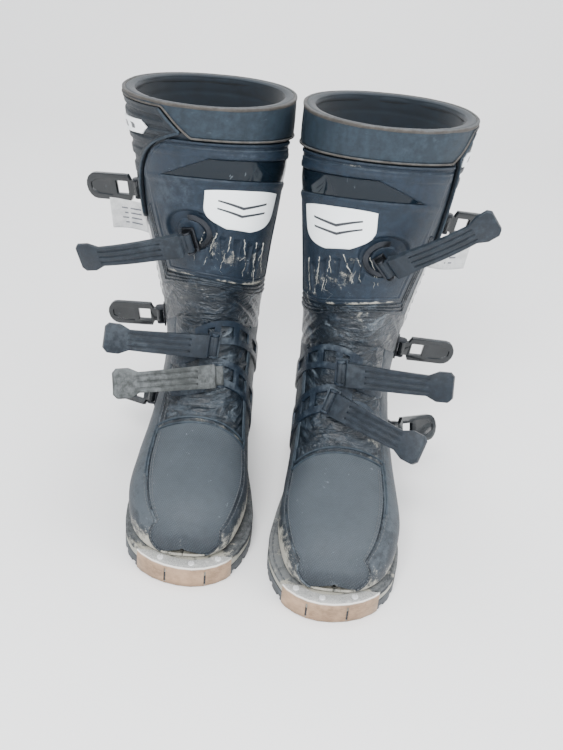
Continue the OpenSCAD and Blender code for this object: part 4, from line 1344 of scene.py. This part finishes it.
def build_ribs(boot):
    """Ribbed panel with its border and a small plain badge."""
    body = boot.name("shaft")
    tip = boot.tip

    def place(u, v):
        return rib_place(u, v, tip)

    def relief(u, v, s, th):
        wide = 6 + 100 * u
        inside = smooth(3.5, 6.5, v * wide) * smooth(2.0, 4.0, (1 - v) * wide) * smooth(0.05, 0.09,
            u) * smooth(0.985, 0.955, u)
        wave = 0.5 + 0.5 * np.cos((u - 0.04 * v) * 2 * math.pi * 8)
        return SHELL + 0.1 - inside * (0.7 + 1.5 * smooth(0.3, 0.75, wave))
    obj = shell(boot, "ribbed_guard", place, SHELL_IN, relief, 200, 90, MATERIALS["rib"],
                soft=1.1, body=body)
    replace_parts(obj, boot.name("rib_panel"))
    u = np.linspace(0.02, 0.985, 70)
    s, th = place(u, 0.0 * u)
    edge = piping(boot, "rib_border", [boot.at(s, th - 0.8, SHELL + 0.1)], 0.0012,
                  MATERIALS["collar"], body)
    a, b = (0.62, 0.80) if not boot.left else (0.60, 0.77)
    l, r = (0.24, 0.76) if not boot.left else (0.10, 0.72)

    def plaque_place(u, v):
        return place(lerp(a, b, u) - 0.035 * (v - 0.5), lerp(l, r, v) + 0.04 * (u - 0.5))
    plaque = shell(boot, "small_badge", plaque_place, SHELL - 1.6, lambda u, v, s, th: SHELL + 0.35, 14, 30,
                   MATERIALS["badge"], soft=0.9, body=body)
    for k in range(3):
        mark = shell(boot, f"small_badge_line_{k}", lambda u, v,
                     k=k: plaque_place(0.3 + 0.4 * u, 0.2 + 0.24 * k + 0.09 * v + 0.05 * u), SHELL + 0.3,
                     SHELL + 0.5, 4, 6, MATERIALS["ink"], soft=0.12, body=body)


def build_label(boot):
    """A fabric label: its sewn patch, its loose flap and plain bars in place of print."""
    body = boot.name("shaft")

    def place(u, v):
        return lerp(10.4, 12.1, u), lerp(-90, -68, v)

    def height(u, v, s, th):
        return LEATHER + 0.75 + 0.2 * boot.bumps(s, th, 8, 95)
    flat = shell(boot, "label_patch", place, LEATHER + 0.2, height, 20, 16, MATERIALS["label"],
                 soft=0.3, body=body)
    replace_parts(flat, boot.name("size_label"))
    leaf, side = label_leaf(boot)
    build_flap(boot, leaf, side)
    build_label_bars(boot, leaf)


def label_leaf(boot):
    """The loose half as a bent leaf, and the direction it faces."""
    up = boot.at(LABEL_STATION + 0.05, LABEL_ANGLE, 3) - boot.at(LABEL_STATION - 0.05, LABEL_ANGLE, 3)
    up /= np.linalg.norm(up)
    out = boot.at(LABEL_STATION, LABEL_ANGLE, 5) - boot.at(LABEL_STATION, LABEL_ANGLE, 3)
    out /= np.linalg.norm(out)
    side = np.cross(out, up)
    root = boot.at(LABEL_STATION, LABEL_ANGLE, LEATHER + 0.7)
    turn = math.radians(14)
    flap_out = out * math.cos(turn) + up * math.sin(turn) * 0.6
    flap_up = up * math.cos(turn) - out * math.sin(turn) * 0.3

    def leaf(u, v, lift=0.0):
        bend = 0.0028 * np.sin(v * 2.8) + 0.0011 * np.sin(u * 3 + v * 4) + lift
        across = np.multiply.outer(v * FLAP_WIDTH, flap_out)
        along = np.multiply.outer((u - 0.16) * FLAP_HEIGHT - v * 0.003, flap_up)
        return root + across + along + np.multiply.outer(bend, side)
    return leaf, side


def build_flap(boot, leaf, side):
    """The loose half of the label, a sheet 0.5 mm thick."""
    g = np.linspace(0, 1, 17)
    u, v = np.meshgrid(g, g, indexing="ij")
    p = leaf(u, v)
    q = p + 0.0005 * side
    n = 17 * 17
    ids = np.arange(n).reshape(17, 17)
    faces = []
    for i in range(16):
        for j in range(16):
            f = (ids[i, j], ids[i, j + 1], ids[i + 1, j + 1], ids[i + 1, j])
            faces += [f, tuple(x + n for x in reversed(f))]
    rim = list(ids[0, :]) + list(ids[1:, -1]) + list(ids[-1, -2::-1]) + list(ids[-2:0:-1, 0])
    faces += [(rim[k], rim[k - 1], rim[k - 1] + n, rim[k] + n) for k in range(len(rim))]
    uv = np.stack([v.ravel() * FLAP_WIDTH, u.ravel() * FLAP_HEIGHT], 1)
    points = np.concatenate([p.reshape(-1, 3), q.reshape(-1, 3)])
    mesh = add_mesh(boot.name("label_flap"), points, faces, MATERIALS["label"], np.concatenate([uv, uv]))
    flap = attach(mesh, boot.name("shaft"))


def build_label_bars(boot, leaf):
    """Plain grey bars in place of print."""
    body = boot.name("shaft")
    parts = []
    for k in range(4):
        a, b = 0.2 + 0.17 * k, 0.25 + 0.17 * k
        for c, d in ((0.15, 0.45), (0.52, 0.62 + 0.07 * (k % 2))):
            for w, face in ((-0.00012, -1), (0.00062, 1)):
                quad = [leaf(np.array(uu), np.array(vv), w) for uu, vv in ((a, c), (a, d), (b, d), (b, c))]
                parts.append((np.array(quad), [(0, 1, 2, 3) if face > 0 else (3, 2, 1, 0)]))
    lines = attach(add_mesh(boot.name("label_bars"), *merge(parts), MATERIALS["print"]), body)
    parts = []
    for k in range(6):
        s0 = 10.55 + 0.24 * k
        c = np.linspace(-86, -74 - 3 * (k % 2), 8)
        parts.append(sweep(boot.at(np.full(8, s0), c, LEATHER + 0.85), 0.00035, 4))
    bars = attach(add_mesh(boot.name("label_patch_bars"), *merge(parts), MATERIALS["print"]), body)


def build_hardware(boot):
    """Straps, levers and the seats of the top ones."""
    obj = softened(boot.name("top_hardware"), MATERIALS["pin"], 0.00035)
    for where in ("top", "mid", "low"):
        muddy = where == "low" and not boot.left
        s = softened(boot.name("strap_" + where), MATERIALS["muddy_strap" if muddy else "strap"], 0.0007)
        lever = softened(boot.name("lever_" + where), MATERIALS["gloss"], 0.0008)


# ---------------------------------------------------------------- stage
def build_stage():
    """Pale floor with a raised back, even surround and three soft lights."""
    st = bpy.context.scene.boot_stage
    m = Make("Pale_floor")
    n = m.noise(3.0, 3.0, 0.5)
    floor_mat = m.finish(m.mix(n, (0.86, 0.86, 0.86), (0.90, 0.90, 0.90)), 0.8)
    g = 3.0
    bend = [(x * g, 1.1 + 0.6 * math.sin(a), 0.6 - 0.6 * math.cos(a))
            for a in np.linspace(0, math.pi / 2, 12) for x in (-1, 1)]
    wall = [(-g, -g, 0), (g, -g, 0)] + bend + [(-g, 1.7, 3), (g, 1.7, 3)]
    faces = [(k, k + 1, k + 3, k + 2) for k in range(0, len(wall) - 2, 2)]
    floor = add_mesh("studio_floor", wall, faces, floor_mat)
    world = bpy.context.scene.world or bpy.data.worlds.new("World")
    bpy.context.scene.world = world
    world.use_nodes = True
    bg = world.node_tree.nodes["Background"]
    bg.inputs["Color"].default_value = (0.95, 0.97, 1.0, 1)
    bg.inputs["Strength"].default_value = st.sky

    def area(name, place, aim, size, power):
        light = bpy.data.lights.new(name, "AREA")
        light.shape = "RECTANGLE"
        light.size, light.size_y = size
        light.energy = power
        obj = bpy.data.objects.new(name, light)
        bpy.context.scene.collection.objects.link(obj)
        obj.location = place
        obj.rotation_euler = (Vector(aim) - Vector(place)).to_track_quat("-Z", "Y").to_euler()
    area("Key_light", (-0.25, -1.35, 1.55), (0, 0, 0.15), (0.9, 0.7), st.key)
    area("Fill_light", (1.5, -0.8, 0.9), (0, 0, 0.2), (1.0, 1.0), st.fill)
    area("Top_light", (0.0, 0.6, 1.8), (0, 0, 0.2), (1.4, 0.8), st.fill)


def build_camera():
    """Camera above the toes, looking down at both boots."""
    cam = bpy.data.cameras.new("Camera")
    cam.sensor_width = 36
    cam.lens = 47.4
    cam.shift_y = -0.044
    cam.clip_end = 50
    obj = bpy.data.objects.new("Camera", cam)
    bpy.context.scene.collection.objects.link(obj)
    pitch, roll = math.radians(29.4), math.radians(5.3)
    fwd = Vector((0, math.cos(pitch), -math.sin(pitch)))
    right = Vector((1, 0, 0))
    up = right.cross(fwd)
    x = right * math.cos(roll) + up * math.sin(roll)
    y = up * math.cos(roll) - right * math.sin(roll)
    rot = Matrix((x, y, -fwd)).transposed().to_4x4()
    obj.matrix_world = Matrix.Translation((0.003, -0.7629, 0.596)) @ rot
    bpy.context.scene.camera = obj
    bpy.context.view_layer.update()


# ---------------------------------------------------------------- operators
class BOOT_OT_stage(Operator):
    """Adds the floor, the light and the camera"""

    bl_idname = "boot.stage"
    bl_label = "Stage"

    def execute(self, context):
        build_stage()
        build_camera()
        return {"FINISHED"}


class BOOT_OT_materials(Operator):
    """Makes the materials of both boots"""

    bl_idname = "boot.materials"
    bl_label = "Materials"

    def execute(self, context):
        make_materials()
        return {"FINISHED"}


class BOOT_OT_sole(Operator):
    """Adds the soles, welts and toe plates"""

    bl_idname = "boot.sole"
    bl_label = "Soles"

    def execute(self, context):
        for boot in BOOTS.values():
            build_sole(boot)
        for node, key, slot in (("toe_screws", "screw", "bright_steel"),
                                ("steel_shanks", "shank", "plain_steel")):
            obj = softened(node, MATERIALS[key], 0.0003)
        return {"FINISHED"}


class BOOT_OT_foot(Operator):
    """Adds the leather of the foot with its seams, folds and ladder straps"""

    bl_idname = "boot.foot"
    bl_label = "Foot leather"

    def execute(self, context):
        for boot in BOOTS.values():
            for build in (build_vamp, build_quarters, build_instep, build_strap_pads, build_heel,
                          build_foot_seams, build_foot_fittings, build_gaiter):
                build(boot)
        return {"FINISHED"}


class BOOT_OT_shaft(Operator):
    """Adds the shaft leather, the shin plate and its badge"""

    bl_idname = "boot.shaft"
    bl_label = "Shafts"

    def execute(self, context):
        for boot in BOOTS.values():
            for build in (build_shaft_leather, build_shin_plate, build_gloss_band, build_badge,
                          build_cracks, build_shaft_seams):
                build(boot)
        return {"FINISHED"}


class BOOT_OT_collar(Operator):
    """Adds the collar, the lining, the ribbed guard and the label"""

    bl_idname = "boot.collar"
    bl_label = "Collars"

    def execute(self, context):
        for boot in BOOTS.values():
            for build in (build_collar_band, build_rim, build_lining, build_ribs, build_label):
                build(boot)
        return {"FINISHED"}


class BOOT_OT_hardware(Operator):
    """Adds the straps, levers and their fittings"""

    bl_idname = "boot.hardware"
    bl_label = "Straps and buckles"

    def execute(self, context):
        for boot in BOOTS.values():
            build_hardware(boot)
        return {"FINISHED"}


OPERATORS = (BOOT_OT_stage, BOOT_OT_materials, BOOT_OT_sole, BOOT_OT_foot, BOOT_OT_shaft, BOOT_OT_collar,
             BOOT_OT_hardware)
GROUPS = (("boot_leather", BootLeather), ("boot_hardware", BootHardware), ("boot_sole", BootSole),
          ("boot_stage", BootStage))


class BOOT_PT_panel(Panel):
    """Lists the settings and the steps"""

    bl_idname = "BOOT_PT_panel"
    bl_label = "Riding boots"
    bl_space_type = "VIEW_3D"
    bl_region_type = "UI"
    bl_category = "Boots"

    def draw(self, context):
        for key, group in GROUPS:
            box = self.layout.box()
            for prop in group.__annotations__:
                box.prop(getattr(context.scene, key), prop)
        for op in OPERATORS:
            self.layout.operator(op.bl_idname)


def register():
    for key, group in GROUPS:
        bpy.utils.register_class(group)
        setattr(bpy.types.Scene, key, PointerProperty(type=group))
    for cls in (*OPERATORS, BOOT_PT_panel):
        bpy.utils.register_class(cls)


def unregister():
    for cls in (BOOT_PT_panel, *reversed(OPERATORS)):
        bpy.utils.unregister_class(cls)
    for key, group in reversed(GROUPS):
        delattr(bpy.types.Scene, key)
        bpy.utils.unregister_class(group)


def main():
    """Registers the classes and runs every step."""
    register()
    for op in OPERATORS:
        area, step = op.bl_idname.split(".")
        getattr(getattr(bpy.ops, area), step)()


if __name__ == "__main__":
    main()
